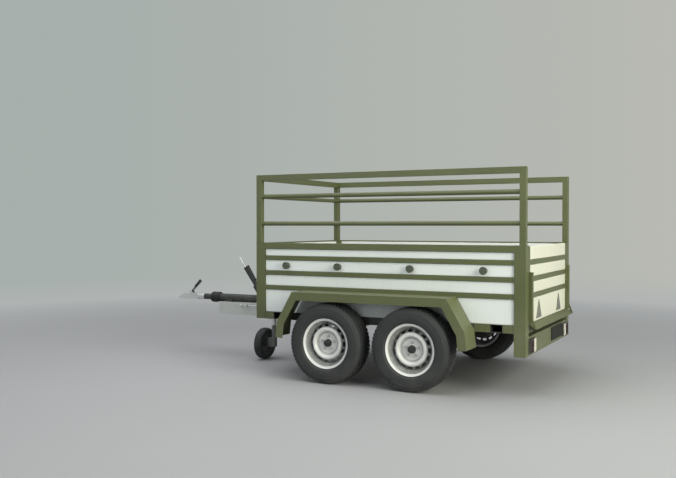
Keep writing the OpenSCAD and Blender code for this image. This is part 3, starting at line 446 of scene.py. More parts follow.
def boxMesh(bm, low, high, width=0.001, segments=2):
    # a block between two corners with rounded edges, added to what is there
    made = bmesh.ops.create_cube(bm, size=1)["verts"]
    low, high = Vector(low), Vector(high)
    for v in made:
        v.co = Vector(((v.co[i] + 0.5) * (high[i] - low[i]) + low[i] for i in range(3)))
    edges = {e for v in made for e in v.link_edges}
    if width:
        bmesh.ops.bevel(bm, geom=list(edges), offset=width, segments=segments, profile=0.5, affect="EDGES")


# geometry node trees

def newTree(name, **inputs):
    # a tree with a geometry input and output and the named inputs, each given as (kind, value)
    group = bpy.data.node_groups.new(name, "GeometryNodeTree")
    group.interface.new_socket("Geometry", in_out="INPUT", socket_type="NodeSocketGeometry")
    group.interface.new_socket("Geometry", in_out="OUTPUT", socket_type="NodeSocketGeometry")
    for label, (kind, value) in inputs.items():
        socket = group.interface.new_socket(label, in_out="INPUT", socket_type="NodeSocket" + kind)
        if value is not None:
            socket.default_value = value
    tree = Tree(group)
    return group, tree, tree.add("NodeGroupInput").outputs, tree.add("NodeGroupOutput").inputs


def finishTree(tree, out, geometry, material):
    real = tree.add("GeometryNodeRealizeInstances", {"Geometry": geometry}).outputs[0]
    smooth = tree.add("GeometryNodeSetShadeSmooth", {"Geometry": real}).outputs[0]
    done = tree.add("GeometryNodeSetMaterial", {"Geometry": smooth, "Material": material}).outputs[0]
    tree.tree.links.new(done, out[0])


def studsTree():
    # puts an item on every point of the input, its Z along the point's facing, spun by a seeded angle
    group, tree, given, out = newTree("studs", Item=("Object", None), Seed=("Int", 7), Spin=("Float", 0.0),
                                      Material=("Material", None))
    facing = tree.add("GeometryNodeInputNamedAttribute", {"Name": "facing"},
                      data_type="FLOAT_VECTOR").outputs[0]
    aimed = tree.add("FunctionNodeAlignRotationToVector", {"Vector": facing}, axis="Z").outputs[0]
    spin = tree.add("FunctionNodeRandomValue", {"Seed": given["Seed"]}, data_type="FLOAT").outputs[1]
    angle = tree.math("MULTIPLY", spin, given["Spin"])
    euler = tree.add("ShaderNodeCombineXYZ", {"Z": angle}).outputs[0]
    turnBy = tree.add("FunctionNodeEulerToRotation", {0: euler}).outputs[0]
    both = tree.add("FunctionNodeRotateRotation", {"Rotation": aimed, "Rotate By": turnBy},
                    rotation_space="LOCAL").outputs[0]
    item = tree.add("GeometryNodeObjectInfo", {"Object": given["Item"]}).outputs["Geometry"]
    placed = tree.add("GeometryNodeInstanceOnPoints", {"Points": given["Geometry"], "Instance": item,
                                                       "Rotation": both}).outputs[0]
    finishTree(tree, out, placed, given["Material"])
    return group


def circled(tree, given, item):
    # an item on each of the counted points of a circle about Z, with its X pointing outwards
    circle = tree.add("GeometryNodeMeshCircle", {"Vertices": given["Count"],
                                                 "Radius": given["Radius"]}).outputs[0]
    step = tree.math("DIVIDE", 2 * math.pi, given["Count"])
    index = tree.add("GeometryNodeInputIndex").outputs[0]
    euler = tree.add("ShaderNodeCombineXYZ", {"Z": tree.math("MULTIPLY", index, step)}).outputs[0]
    rotation = tree.add("FunctionNodeEulerToRotation", {0: euler}).outputs[0]
    source = tree.add("GeometryNodeObjectInfo", {"Object": given[item]}).outputs["Geometry"]
    return tree.add("GeometryNodeInstanceOnPoints", {"Points": circle, "Instance": source,
                                                     "Rotation": rotation}).outputs[0]


def ringTree():
    # adds a ring of items round Z, at a radius and height
    group, tree, given, out = newTree("ring", Item=("Object", None), Count=("Int", 8),
                                      Radius=("Float", 0.1), Height=("Float", 0.0),
                                      Start=("Float", 0.0), Material=("Material", None))
    lift = tree.add("ShaderNodeCombineXYZ", {"Z": given["Height"]}).outputs[0]
    begin = tree.add("ShaderNodeCombineXYZ", {"Z": given["Start"]}).outputs[0]
    moved = tree.add("GeometryNodeTransform", {"Geometry": circled(tree, given, "Item"), "Translation": lift,
                                               "Rotation": begin}).outputs[0]
    whole = tree.add("GeometryNodeJoinGeometry", {"Geometry": moved})
    tree.tree.links.new(given["Geometry"], whole.inputs[0])
    finishTree(tree, out, whole.outputs[0], given["Material"])
    return group


def beadTree():
    # lays a rippled weld bead along the input's edges
    group, tree, given, out = newTree("bead", Radius=("Float", 0.0016), Step=("Float", 0.0035),
                                      Material=("Material", None))
    line = tree.add("GeometryNodeMeshToCurve", {"Mesh": given["Geometry"]}).outputs[0]
    spaced = tree.add("GeometryNodeResampleCurve", {"Curve": line, "Length": given["Step"]},
                      mode="LENGTH").outputs[0]
    section = tree.add("GeometryNodeCurvePrimitiveCircle", {"Resolution": 6,
                                                            "Radius": given["Radius"]}).outputs[0]
    tube = tree.add("GeometryNodeCurveToMesh", {"Curve": spaced, "Profile Curve": section,
                                                "Fill Caps": True}).outputs[0]
    ripple = tree.noise(tree.add("GeometryNodeInputPosition").outputs[0], 210, 2)
    push = tree.math("MULTIPLY", tree.ramp(ripple, 0.3, 0.7, -0.4, 0.4), given["Radius"])
    normal = tree.add("GeometryNodeInputNormal").outputs[0]
    offset = tree.add("ShaderNodeVectorMath", {0: normal, "Scale": push}, operation="SCALE").outputs[0]
    rippled = tree.add("GeometryNodeSetPosition", {"Geometry": tube, "Offset": offset}).outputs[0]
    finishTree(tree, out, rippled, given["Material"])
    return group


def ventTree():
    # cuts a ring of slots out of a turned disc
    group, tree, given, out = newTree("vents", Cutter=("Object", None), Count=("Int", 15),
                                      Radius=("Float", 0.14), Material=("Material", None))
    placed = circled(tree, given, "Cutter")
    cutters = tree.add("GeometryNodeRealizeInstances", {"Geometry": placed}).outputs[0]
    cut = tree.add("GeometryNodeMeshBoolean", {"Mesh 1": given["Geometry"], "Mesh 2": cutters},
                   operation="DIFFERENCE").outputs[0]
    finishTree(tree, out, cut, given["Material"])
    return group


trees = {"studs": studsTree(), "ring": ringTree(), "bead": beadTree(), "vents": ventTree()}


def grow(name, treeName, mesh=None, sharp=32, **inputs):
    # runs a tree on a mesh and returns the result as a plain mesh
    group = trees[treeName]
    holder = bpy.data.objects.new(name + "Holder", mesh or bpy.data.meshes.new(name + "Holder"))
    bpy.context.scene.collection.objects.link(holder)
    modifier = holder.modifiers.new("grow", "NODES")
    modifier.node_group = group
    for item in group.interface.items_tree:
        if item.item_type == "SOCKET" and item.in_out == "INPUT" and item.name in inputs:
            modifier[item.identifier] = inputs[item.name]
    graph = bpy.context.evaluated_depsgraph_get()
    graph.update()
    made = bpy.data.meshes.new_from_object(holder.evaluated_get(graph))
    made.name = name
    bpy.data.objects.remove(holder)
    made.set_sharp_from_angle(angle=math.radians(sharp))
    return made


def helper(name, mesh):
    lent = bpy.data.objects.new(name, mesh)
    bpy.context.scene.collection.objects.link(lent)
    helpers.append(lent)
    return lent


def points(name, places):
    # a mesh of loose points, each with the direction that it faces
    mesh = bpy.data.meshes.new(name)
    mesh.from_pydata([tuple(p) for p, _ in places], [], [])
    facing = mesh.attributes.new("facing", "FLOAT_VECTOR", "POINT")
    facing.data.foreach_set("vector", [c for _, d in places for c in d])
    return mesh


def placedCopy(name, mesh, matrix):
    copy = mesh.copy()
    copy.name = name
    copy.transform(matrix)
    return copy


def joined(name, meshes, sharp=32):
    # several meshes as one, each keeping its own material
    bm = bmesh.new()
    materials = []
    for mesh in meshes:
        before = len(bm.faces)
        bm.from_mesh(mesh)
        bm.faces.ensure_lookup_table()
        local = list(mesh.materials)
        for material in local:
            if material not in materials:
                materials.append(material)
        for face in bm.faces[before:]:
            face.material_index = materials.index(local[face.material_index]) if local else 0
    made = bpy.data.meshes.new(name)
    bm.to_mesh(made)
    bm.free()
    for material in materials:
        made.materials.append(material)
    made.polygons.foreach_set("use_smooth", [True] * len(made.polygons))
    made.set_sharp_from_angle(angle=math.radians(sharp))
    return made


def dressed(mesh, finish):
    mesh.materials.clear()
    mesh.materials.append(finishes[finish])
    return mesh


# fasteners

def hexHead(bm, across, tall, washer):
    # a hexagon head with rounded top edges on a round washer
    crest = tall / 2 + washer
    made = bmesh.ops.create_cone(bm, segments=6, radius1=across / 1.732, radius2=across / 1.732, depth=tall,
                                 cap_ends=True, matrix=Matrix.Translation((0, 0, crest)))["verts"]
    top = {e for v in made if v.co.z > crest for e in v.link_edges if all(u.co.z > crest for u in e.verts)}
    bmesh.ops.bevel(bm, geom=list(top), offset=across * 0.07, segments=2, profile=0.5, affect="EDGES")
    inner, outer = across * 0.72, across * 0.74
    turn(bm, [(0, 0), (inner, 0), (outer, washer * 0.5), (inner, washer), (0, washer)], 24, closed=False)


domeHead = helper("domeHead", turned("domeHead", [(0, 0), (0.0052, 0), (0.0052, 0.0006), (0.0047, 0.0018),
                                                  (0.0034, 0.0027), (0.0017, 0.0031), (0, 0.0032)],
                                                 16, False))
wheelBolt = helper("wheelBolt", meshFrom("wheelBolt", lambda bm: hexHead(bm, 0.019, 0.014, 0.003), 25))


def studded(name, item, places, finish, body, slot, *replaced):
    mesh = grow(name, "studs", points(name + "Places", places), Item=item, Material=finishes[finish])
    newPiece(name, mesh, finish, body, slot, *replaced)


# frame, walls, cage

softNodes = {
    "olive": {"sill_rails": 0.004, "corner_posts": 0.006, "belt_rails": 0.004, "board_ribs": 0.003,
              "cage_posts": 0.005, "cage_top_rails": 0.005, "cage_tube_rails": 0.0008,
              "mudguard_left": 0.0012, "mudguard_right": 0.0012, "rear_beam": 0.004,
              "tailgate_frame": 0.003, "tailgate_lip": 0.0015},
    "black_steel": {"chassis_rails": 0.004, "cross_members": 0.004, "lamp_housings": 0.003,
                    "hinge_brackets": 0.001, "overrun_housing": 0.0025, "draw_shaft": 0.0015,
                    "jockey_clamp": 0.002, "handbrake_lever": 0.0025,
                    **{"swing_arm_" + w: 0.002 for w in wheelNames}},
    "white_board": {"wall_boards": 0.005, "inner_lining": 0.001},
    "gateBoard": {"tailgate_boards": 0.008},
    "plateBlack": {"plate_panel": 0.0025},
    "beam_grey": {"drawbar_beam": 0.005},
    "floor_ply": {"floor_deck": 0.001},
    "zinc": {"axle_tubes": 0.004, "latch_bolt_left": 0.0012, "latch_bolt_right": 0.0012, "brake_rod": 0.0012,
             "jockey_tube": 0.0012, "jockey_stem": 0.0015, "jockey_crank": 0.002, "clamp_handle": 0.001},
    "fork_grey": {"jockey_fork": 0.003, "coupling_handle": 0.003},
    "bright": {"coupling_head": 0.005, "release_rod": 0.001},
    "reflector": {"reflectors": 0.0015},
}
wideEdge = 0.0045                               # edges rounder than this get a third segment
for finishName, edgeWidths in softNodes.items():
    for nodeName, edgeWidth in edgeWidths.items():
        softened(nodeName, finishName, edgeWidth, 3 if edgeWidth > wideEdge else 2)
print("frame pieces rounded:", sum(len(widths) for widths in softNodes.values()))


# road wheels

wheelSet = {"segments": 120, "treadCount": 62, "crown": 0.3266, "treadTop": 0.3334, "treadDepth": 0.0068,
            "ventCount": 15, "ventRadius": 0.1468, "boltCount": 5, "boltCircle": 0.056, "boltSeat": 0.0303}


def tyreProfile():
    # half a section from the bead over the sidewall to the tread, then its mirror and the hollow inside
    wall = [(0.1905, 0.0735), (0.2005, 0.0745), (0.2075, 0.0785), (0.2105, 0.0850), (0.2125, 0.0905),
            (0.2165, 0.0945), (0.2225, 0.0978), (0.2235, 0.0988), (0.2255, 0.0990), (0.2268, 0.0990),
            (0.2350, 0.1010), (0.2450, 0.1022), (0.2560, 0.1025), (0.2680, 0.1021), (0.2800, 0.1010),
            (0.2860, 0.1000), (0.2872, 0.1006), (0.2890, 0.1004), (0.2900, 0.0990), (0.2980, 0.0968),
            (0.3060, 0.0938), (0.3130, 0.0903), (0.3185, 0.0868), (0.3215, 0.0835), (0.3225, 0.0800)]
    crown = wheelSet["crown"]
    tread = [(crown - 0.0012 * (h / 0.05) ** 2, h) for h in (0.066, 0.045, 0.022)]
    inside = [(0.1905, 0.055), (0.205, 0.063), (0.222, 0.084), (0.270, 0.0885), (0.300, 0.078),
              (0.3125, 0.050)]
    half = wall + tread
    mirrored = [(r, -h) for r, h in reversed(half)]
    hollow = [(r, -h) for r, h in inside] + [(r, h) for r, h in reversed(inside)]
    return half + [(crown, 0)] + mirrored + hollow


def treadBlock(name, length, width, depth, lean, tilt):
    # one block: X outwards, Y round the tyre, Z across it, narrower at the top
    def build(bm):
        boxMesh(bm, (-0.004, -length / 2, -width / 2), (depth, length / 2, width / 2), 0)
        for v in bm.verts:
            if v.co.x > 0:
                v.co.y *= 0.9
                v.co.z *= 0.93
            v.co.y += lean * v.co.z
        bmesh.ops.bevel(bm, geom=[e for e in bm.edges if all(v.co.x > 0 for v in e.verts)], offset=0.0012,
                        segments=1, affect="EDGES")
        bmesh.ops.rotate(bm, verts=bm.verts, cent=(0, 0, 0), matrix=Matrix.Rotation(tilt, 3, "Y"))
    return helper(name, meshFrom(name, build, 40))


def roadTyre():
    mesh = dressed(turned("roadTyre", tyreProfile(), wheelSet["segments"]), "tyre")
    pitch = 2 * math.pi * wheelSet["treadTop"] / wheelSet["treadCount"]
    rows = [(0.0, 0.0215, 0.00, 0.0, 0.0),
            (0.0265, 0.0200, 0.25, 0.0, 0.5), (-0.0265, 0.0200, 0.25, 0.0, 0.5),
            (0.0520, 0.0195, -0.25, 0.05, 0.2), (-0.0520, 0.0195, -0.25, -0.05, 0.2),
            (0.0765, 0.0190, 0.10, 0.16, 0.7), (-0.0765, 0.0190, 0.10, -0.16, 0.7)]
    for i, (height, width, lean, tilt, start) in enumerate(rows):
        length = pitch * (0.80 if i else 0.93)
        block = treadBlock(f"treadBlock{i}", length, width, wheelSet["treadDepth"], lean, tilt)
        drop = wheelSet["treadTop"] - wheelSet["treadDepth"] - 0.0009 * (height / 0.03) ** 2
        mesh = grow("roadTyre", "ring", mesh, 40, Item=block, Count=wheelSet["treadCount"], Radius=drop,
                    Height=height, Start=start * 2 * math.pi / wheelSet["treadCount"],
                    Material=finishes["tyre"])
    return mesh


def wheelRim():
    # rolled double lip and well, then the vented disc with its raised ring and dished middle
    seen = [(0.2078, 0.0835), (0.2080, 0.0856), (0.2071, 0.0868), (0.2052, 0.0869), (0.2030, 0.0855),
            (0.2010, 0.0830), (0.1990, 0.0808), (0.1968, 0.0800), (0.1940, 0.0800), (0.1915, 0.0797),
            (0.1893, 0.0784), (0.1878, 0.0762), (0.1870, 0.0730), (0.1862, 0.0500), (0.1840, 0.0440),
            (0.1680, 0.0345), (0.1636, 0.0310), (0.1620, 0.0270), (0.1620, -0.0120), (0.1830, -0.0320),
            (0.1840, -0.0770), (0.1890, -0.0815), (0.2000, -0.0825), (0.2050, -0.0868)]
    covered = [(0.2078, -0.0850), (0.2030, -0.0780), (0.1900, -0.0740), (0.1880, -0.0300), (0.1660, -0.0100),
               (0.1660, 0.0300), (0.1885, 0.0420), (0.1900, 0.0740), (0.2030, 0.0780)]
    barrel = dressed(turned("rimBarrel", seen + covered, wheelSet["segments"]), "wheel_silver")
    front = [(0.1618, 0.0120), (0.1610, 0.0190), (0.1590, 0.0240), (0.1560, 0.0275), (0.1520, 0.0300),
             (0.1470, 0.0318), (0.1425, 0.0345), (0.1395, 0.0390), (0.1372, 0.0450), (0.1350, 0.0510),
             (0.1325, 0.0560), (0.1285, 0.0597), (0.1235, 0.0618), (0.1175, 0.0625), (0.1115, 0.0612),
             (0.1065, 0.0580), (0.1025, 0.0530), (0.0985, 0.0465), (0.0945, 0.0395), (0.0900, 0.0345),
             (0.0850, 0.0318), (0.0790, 0.0304), (0.0730, 0.0300), (0.0430, 0.0300),
             (0.0400, 0.0308), (0.0370, 0.0330), (0.0350, 0.0334), (0.0332, 0.0326)]
    back = [(0.0330, 0.0252), (0.0800, 0.0252), (0.0880, 0.0280), (0.0950, 0.0345), (0.1000, 0.0430),
            (0.1050, 0.0520), (0.1100, 0.0562), (0.1175, 0.0578), (0.1240, 0.0565), (0.1290, 0.0520),
            (0.1330, 0.0430), (0.1370, 0.0320), (0.1440, 0.0262), (0.1540, 0.0220), (0.1610, 0.0060)]
    disc = turned("rimDisc", front + back, wheelSet["segments"])

    def slotShape(bm):
        rim = [(0.0092 * math.cos(a), (0.0115 if math.sin(a) > 0 else -0.0115) + 0.0092 * math.sin(a))
               for a in np.linspace(0.001, 2 * math.pi + 0.001, 24, endpoint=False)]
        rings = [[bm.verts.new((x, y, z)) for x, y in rim] for z in (-0.02, 0.09)]
        for i in range(len(rim)):
            k = (i + 1) % len(rim)
            bm.faces.new((rings[0][i], rings[0][k], rings[1][k], rings[1][i]))
        bm.faces.new(rings[0][::-1])
        bm.faces.new(rings[1])
        bmesh.ops.recalc_face_normals(bm, faces=bm.faces)

    cutter = helper("ventCutter", meshFrom("ventCutter", slotShape))
    vented = grow("rimDisc", "vents", disc, 34, Cutter=cutter, Count=wheelSet["ventCount"],
                  Radius=wheelSet["ventRadius"], Material=finishes["wheel_silver"])
    rim = joined("wheelRim", [barrel, vented], 34)
    # painted shade with brake dust: the rim's channel and the ring round its dished middle, below the lip
    # only, are marked to be darkened
    dust = rim.attributes.new("brakeDustAndShade", "FLOAT", "POINT")
    values = []
    for vertex in rim.vertices:
        radius, height = math.hypot(vertex.co.x, vertex.co.y), vertex.co.z
        channel = np.interp(radius, [0.132, 0.140, 0.160, 0.1875, 0.1905], [0.0, 0.75, 1.0, 0.85, 0.0])
        dish = np.interp(radius, [0.080, 0.088, 0.094, 0.104], [0.0, 0.75, 0.7, 0.0])
        values.append(max(channel, dish) if height < 0.0775 else 0.0)
    dust.data.foreach_set("value", values)
    return rim


def wheelHardware():
    # wheel bolts with washers, black centre cap, valve, and the brake drum behind the disc
    cap = dressed(turned("centreCap", [(0, 0.0650), (0.012, 0.0648), (0.0150, 0.0640), (0.0160, 0.0618),
                                       (0.0235, 0.0612), (0.0270, 0.0600), (0.0292, 0.0570), (0.0302, 0.0520),
                                       (0.0308, 0.0330), (0.0308, 0.0256), (0, 0.0256)],
                                      48, False), "capBlack")
    drumProfile = [(0.0155, 0.0250), (0.0740, 0.0250), (0.0750, 0.0240), (0.0755, -0.0220), (0.0960, -0.0235),
                   (0.1140, -0.0250), (0.1175, -0.0280), (0.1180, -0.0330), (0.1165, -0.0350),
                   (0.1165, -0.0480), (0.1180, -0.0500), (0.1180, -0.0640), (0.1165, -0.0660),
                   (0.1165, -0.0740), (0.1180, -0.0760), (0.1180, -0.0828), (0.1085, -0.0828),
                   (0.1080, -0.0320), (0.0155, -0.0320)]
    drum = dressed(turned("brakeDrum", drumProfile, 72), "hub_iron")
    bolts = grow("wheelBolts", "ring", None, 25, Item=wheelBolt, Count=wheelSet["boltCount"],
                 Radius=wheelSet["boltCircle"], Height=wheelSet["boltSeat"], Start=math.pi / 2,
                 Material=finishes["zinc"])

    def valve(bm):
        stem = [(0, 0.172, 0.030), (0, 0.170, 0.045), (0, 0.168, 0.056), (0, 0.1672, 0.060),
                (0, 0.167, 0.070)]
        sweep(bm, stem, [0.0050, 0.0045, 0.0040, 0.0032, 0.0030], 12)
    return joined("wheelHardware", [cap, drum, bolts, dressed(meshFrom("valve", valve), "capBlack")], 30)


tyreMesh, rimMesh, hardwareMesh = roadTyre(), wheelRim(), wheelHardware()
for wheelName in wheelNames:
    low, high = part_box("tyre_" + wheelName)
    centre = (low + high) / 2
    outwards = Matrix.Rotation(math.pi / 2, 4, "X")
    if centre.y > 0:
        outwards = Matrix.Rotation(math.pi, 4, "Z") @ outwards
    place = Matrix.Translation(centre) @ outwards
    for title, mesh, finish, slot, part in (("roadTyre", tyreMesh, "tyre", "tyre", "tyre_"),
                                            ("wheelRim", rimMesh, "wheel_silver", "wheel_silver", "rim_"),
                                            ("wheelHub", hardwareMesh, "hub_iron", "hub_iron", "hub_")):
        pieceName = f"{title}_{wheelName}"
        newPiece(pieceName, placedCopy(pieceName, mesh, place), finish, "wheel_" + wheelName, slot,
                 part + wheelName)
print("road wheels made, faces in each:", sum(len(m.polygons) for m in (tyreMesh, rimMesh, hardwareMesh)))


# rope knobs

def ropeKnobs():
    # turned knobs on the outside of the boards, in the places of the plain ones
    profile = [(0, 0), (0.0270, 0), (0.0275, 0.0045), (0.0250, 0.0072), (0.0195, 0.0092), (0.0178, 0.0120),
               (0.0175, 0.0180), (0.0180, 0.0225), (0.0210, 0.0258), (0.0285, 0.0280), (0.0308, 0.0300),
               (0.0315, 0.0330), (0.0314, 0.0370), (0.0300, 0.0397), (0.0275, 0.0410), (0.0245, 0.0408),
               (0.0225, 0.0392), (0.0210, 0.0384), (0.0150, 0.0384), (0.0135, 0.0394), (0.0120, 0.0402),
               (0.0060, 0.0404), (0.0052, 0.0396), (0, 0.0394)]
    knob = helper("ropeKnob", turned("ropeKnob", profile, 40, False))
    low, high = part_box("tie_knobs")
    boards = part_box("wall_boards")[1].y
    source = nodes["tie_knobs"].data
    xs = sorted({round(v.co.x, 4) for v in source.vertices})
    groups = np.split(np.array(xs), np.where(np.diff(xs) > 0.1)[0] + 1)
    places = [((g.min() / 2 + g.max() / 2, s * boards, (low.z + high.z) / 2), (0, s, 0))
              for g in groups for s in (-1, 1)]
    studded("ropeKnobs", knob, places, "knob", "chassis", "knob", "tie_knobs")
    return len(places)


print("rope knobs:", ropeKnobs())


# drawbar bellows

bellowsSet = {"folds": 5, "outer": 0.0535, "root": 0.0425, "cuff": 0.0385, "bore": 0.034, "tail": 0.024,
              "travel": 0.070}


def bellows():
    # moulded folds from cuff to cuff with a clamping band at each end
    low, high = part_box("gaiter")
    length, spec = high.x - low.x, bellowsSet
    start, end = 0.010, length - spec["tail"]
    pitch = (end - start) / spec["folds"]
    cuff, root = spec["cuff"], spec["root"]
    outside = [(cuff + 0.002, 0.0), (cuff + 0.003, 0.001), (cuff + 0.003, start - 0.001)]
    for fold in range(spec["folds"]):
        for share in np.linspace(0.08, 0.92, 9):
            swell = math.sin(math.pi * share) ** 0.7
            outside.append((root + (spec["outer"] - root) * swell, start + (fold + share) * pitch))
    outside += [(cuff, end + 0.002), (cuff, length - 0.001), (cuff - 0.001, length)]
    inside = [(spec["bore"], length), (spec["bore"], 0.0)]
    skin = dressed(turned("bellowsSkin", outside + inside, 64, True, 60), "bellows")

    def band(at, radius):
        ring = [(radius - 0.001, at - 0.004), (radius + 0.0008, at - 0.004), (radius + 0.0008, at + 0.004),
                (radius - 0.001, at + 0.004)]
        return dressed(turned("bellowsBand", ring, 64), "black_steel")
    mesh = joined("bellows", [skin, band(0.005, cuff + 0.003), band(length - 0.012, cuff)], 40)
    mesh.transform(Matrix.Translation((low.x, (low.y + high.y) / 2, (low.z + high.z) / 2))
                   @ Matrix.Rotation(math.pi / 2, 4, "Y"))
    piece = newPiece("bellows", mesh, "bellows", "chassis", "bellows", "gaiter")
    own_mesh(piece)


bellows()
print("bellows folds:", bellowsSet["folds"])


# grips

gripSet = {
    "coupling_handle": {"joint": "coupling_handle_hinge", "body": "coupling_handle", "length": 0.098,
                        "radius": 0.0148, "core": 0.0100, "waves": 4, "depth": 0.0008},
    "handbrake_lever": {"joint": "handbrake_hinge", "body": "handbrake", "length": 0.172,
                        "radius": 0.0205, "core": 0.0110, "waves": 5, "depth": 0.0016},
}


def slipGrip(node, spec):
    # moulded grip with finger waves, slipped over the end of its lever
    joint = next(j for j in record["behaviour"]["joints"] if j["name"] == spec["joint"])
    pivot = Vector(joint["pos_m"])
    reach = [Vector(v.co) - pivot for v in nodes[node].data.vertices]
    far = max(reach, key=lambda v: v.z)
    away = Vector((far.x, 0, far.z)).normalized()
    end = max(v.dot(away) for v in reach) + 0.0012
    start, radius = end - spec["length"], spec["radius"]
    outside = [(radius - 0.0045, start), (radius - 0.0015, start + 0.001), (radius, start + 0.004)]
    for share in np.linspace(0.08, 0.90, spec["waves"] * 8 + 1):
        wave = 0.5 - 0.5 * math.cos(2 * math.pi * spec["waves"] * (share - 0.08) / 0.82)
        outside.append((radius - spec["depth"] * wave, start + share * spec["length"]))
    outside += [(radius + 0.0006, end - 0.006), (radius - 0.0004, end - 0.002),
                (radius - 0.003, end - 0.0002)]
    inside = [(spec["core"], end - 0.0010), (spec["core"], start + 0.001)]
    mesh = turned(node + "Grip", outside + inside, 40, True, 45)
    mesh.transform(Matrix.Translation(pivot) @ away.to_track_quat("Z", "Y").to_matrix().to_4x4())
    newPiece(node + "Grip", mesh, "capBlack", spec["body"], "black_steel")


for nodeName, spec in gripSet.items():
    slipGrip(nodeName, spec)
print("grips:", len(gripSet))


# jockey wheel

def jockeyWheel():
    # solid tyre with two grooves beside its middle rib, on a pressed rim; points are inwards from the radius
    low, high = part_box("jockey_tyre")
    centre, radius, half = (low + high) / 2, (high.z - low.z) / 2, (high.x - low.x) / 2
    middle = [(0.0005, 0.0), (0.0006, 0.004), (0.0030, 0.0050), (0.0030, 0.0075), (0.0008, 0.0085),
              (0.0016, 0.0180), (0.0045, 0.0190), (0.0046, 0.0215), (0.0024, 0.0225)]
    shoulder = [(0.0060, 0.0125), (0.0120, 0.0060), (0.0190, 0.0020), (0.0270, 0.0004), (0.0360, 0.0016),
                (0.0380, 0.0034), (0.0400, 0.0030), (0.0430, 0.0060), (0.0455, 0.0110), (0.0470, 0.0150)]
    crown = [(radius - r, h) for r, h in middle] + [(radius - r, half - h) for r, h in shoulder]
    profile = crown + [(r, -h) for r, h in reversed(crown[1:])]
    tyre = dressed(turned("jockeyTyre", profile, 72), "tyre")
    flange = [(0.0465, 0.026), (0.0480, 0.0335), (0.0510, 0.0350), (0.0545, 0.0335), (0.0560, 0.0290),
              (0.0590, 0.0140), (0.0640, 0.0090)]
    rimHalf = [(radius - r, h) for r, h in flange]
    rimHalf += [(0.0520, 0.0075), (0.0360, 0.0090), (0.0270, 0.0130), (0.0240, 0.0180), (0.0225, 0.0370),
                (0.0210, 0.0378), (0.0085, 0.0378)]
    rimProfile = rimHalf + [(r, -h) for r, h in reversed(rimHalf)]
    rim = dressed(turned("jockeyRim", rimProfile, 72), "jockeyGrey")
    place = Matrix.Translation(centre) @ Matrix.Rotation(math.pi / 2, 4, "Y")
    for mesh in (tyre, rim):
        mesh.transform(place)
    newPiece("jockeyTyre", tyre, "tyre", "jockey_wheel", "tyre", "jockey_tyre")
    newPiece("jockeyRim", rim, "jockeyGrey", "jockey_wheel", "wheel_silver", "jockey_rim")


jockeyWheel()
print("jockey wheel made")


# tail lamps

lampSet = {"clear": 0.056, "gap": 0.0012, "ribs": 9, "rib": 0.0011}


def tailLamps():
    # each lens is a clear inner part and a dark red outer part, with upright ribs on its face
    low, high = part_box("lamp_lenses")
    inner = min(abs(v.co.y) for v in nodes["lamp_lenses"].data.vertices)
    outer = high.y

    def part(fromY, toY):
        def build(bm):
            boxMesh(bm, (low.x, fromY, low.z), (high.x - 0.0016, toY, high.z), 0.0022, 3)
            for k in range(lampSet["ribs"]):
                y = fromY + 0.005 + (toY - fromY - 0.010) * (k + 0.5) / lampSet["ribs"]
                boxMesh(bm, (high.x - 0.0030, y - lampSet["rib"], low.z + 0.006),
                        (high.x, y + lampSet["rib"], high.z - 0.006), 0.0006, 1)
        return build
    clear, dark = [], []
    for sign in (-1, 1):
        cut = inner + lampSet["clear"]
        for store, near, farther in ((clear, inner, cut - lampSet["gap"]), (dark, cut, outer)):
            ends = sorted((sign * near, sign * farther))
            store.append(meshFrom("lensPart", part(*ends)))
    meshes = [dressed(mesh, "clearLens") for mesh in clear] + [dressed(mesh, "lens") for mesh in dark]
    newPiece("lampLenses", joined("lampLenses", meshes), "lens", "chassis", "lens", "lamp_lenses")


tailLamps()
print("lamp lenses made")


# floor screws and weld beads

screwSet = {"gap": 0.1, "inset": 0.06, "margin": 0.02, "count": 8}
beadSet = {"slice": 0.0006, "fewest": 200, "rows": 0.2, "levels": 0.12, "thin": 0.03, "thick": 0.045}


def floorScrews():
    # a row of dome-head screws along the middle of every cross member
    low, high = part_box("floor_deck")
    gap, inset, margin = screwSet["gap"], screwSet["inset"], screwSet["margin"]
    xs = sorted(v.co.x for v in nodes["cross_members"].data.vertices)
    starts = [xs[0]] + [b for a, b in zip(xs, xs[1:]) if b - a > gap]
    ends = [a for a, b in zip(xs, xs[1:]) if b - a > gap] + [xs[-1]]
    rows = [(start + end) / 2 for start, end in zip(starts, ends)]
    rows = [x for x in rows if low.x + margin < x < high.x - margin]
    across = np.linspace(low.y + inset, high.y - inset, screwSet["count"])
    return [((x, y, high.z), (0, 0, 1)) for x in rows for y in across]


def cageBeads():
    # a bead round each end of the cage's tube rails, where they meet the posts
    spots = np.array([v.co for v in nodes["cage_tube_rails"].data.vertices])
    rows, levels = spots[:, 1] / beadSet["rows"], spots[:, 2] / beadSet["levels"]
    made = []
    for x in sorted(set(np.round(spots[:, 0], 3))):
        here = np.abs(spots[:, 0] - x) < beadSet["slice"]
        if here.sum() <= beadSet["fewest"]:
            continue
        for row in sorted(set(np.round(rows[here]))):
            inRow = here & (np.abs(rows - row) < 0.5)
            for level in sorted(set(np.round(levels[inRow]))):
                ring = spots[inRow & (np.abs(levels - level) < 0.5)]
                size = ring.max(0) - ring.min(0)
                if all(beadSet["thin"] < across < beadSet["thick"] for across in size[1:]):
                    made.append((x, (ring.max(0) + ring.min(0)) / 2, size[2] / 2))

    def build(bm):
        for x, centre, radius in made:
            loop = [bm.verts.new((x, centre[1] + radius * math.cos(a), centre[2] + radius * math.sin(a)))
                    for a in np.linspace(0, 2 * math.pi, 40, endpoint=False)]
            for i, vertex in enumerate(loop):
                bm.edges.new((vertex, loop[(i + 1) % len(loop)]))
    mesh = grow("cageBeads", "bead", meshFrom("beadLines", build), 80, Material=finishes["olive"])
    newPiece("cageBeads", mesh, "olive", "chassis", "olive")
    return len(made)


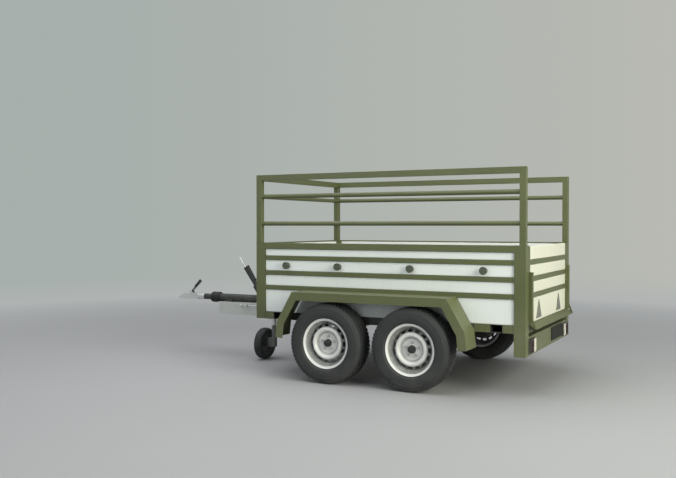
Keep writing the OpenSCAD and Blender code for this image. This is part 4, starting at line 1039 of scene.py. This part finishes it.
studded("floorScrews", domeHead, floorScrews(), "zinc", "chassis", "zinc")
print("weld beads:", cageBeads())


# ground and backdrop

floorSet = {"near": 3.0, "far": 8.0, "radius": 40.0, "wall": 16.0, "floor": (0.283, 0.287, 0.298),
            "distance": (0.437, 0.452, 0.452), "cool": (0.388, 0.430, 0.412), "warm": (0.480, 0.490, 0.450)}


def backdropColour(tree, place):
    # a cool side going over to a warmer one across the view
    turned = math.radians(cameraSet["turn"])
    across = Vector((math.cos(turned), math.sin(turned), 0))
    side = tree.add("ShaderNodeVectorMath", {0: place, 1: across}, operation="DOT_PRODUCT").outputs["Value"]
    return tree.mix(tree.ramp(side, -6, 9), floorSet["cool"], floorSet["warm"])


def makeStage():
    # a round floor that fades into the wall round it
    floor = turned("ground", [(floorSet["radius"], 0), (0, 0)], 96, False)
    material, tree, surface, place = newMaterial("ground", Roughness=0.65)
    away = tree.add("ShaderNodeVectorMath", {0: place}, operation="LENGTH").outputs["Value"]
    mottle = tree.noise(place, 0.6, 3)
    darker, lighter = shade(floorSet["floor"], 0.985), shade(floorSet["floor"], 1.015)
    tone = tree.mix(tree.ramp(mottle, 0.3, 0.7), darker, lighter)
    connect(tree, surface, tone)
    far = tree.mix(tree.ramp(away, 7, 13), floorSet["distance"], backdropColour(tree, place))
    glow = tree.add("ShaderNodeEmission", {"Color": far}).outputs[0]
    fade = tree.ramp(away, floorSet["near"], floorSet["far"])
    both = tree.add("ShaderNodeMixShader", {0: fade, 1: surface.outputs[0], 2: glow}).outputs[0]
    tree.tree.links.new(both, material.node_tree.nodes["Material Output"].inputs["Surface"])
    floor.materials.append(material)
    ground = bpy.data.objects.new("ground", floor)
    wallMesh = turned("backdrop", [(floorSet["wall"], -0.5), (floorSet["wall"], 30)], 96, False)
    wallMaterial, tree, surface, place = newMaterial("backdrop")
    glow = tree.add("ShaderNodeEmission", {"Color": backdropColour(tree, place)}).outputs[0]
    tree.tree.links.new(glow, wallMaterial.node_tree.nodes["Material Output"].inputs["Surface"])
    wallMesh.materials.append(wallMaterial)
    backdrop = bpy.data.objects.new("backdrop", wallMesh)
    for thing in (ground, backdrop):
        bpy.context.scene.collection.objects.link(thing)
    for ray in ("diffuse", "glossy", "transmission", "shadow"):
        setattr(backdrop, "visible_" + ray, False)
    ground.location.z = cadBox[0].z - 0.0005


makeStage()
print("stage made")


# finish

for lent in helpers:
    bpy.data.objects.remove(lent)

bpy.context.view_layer.update()
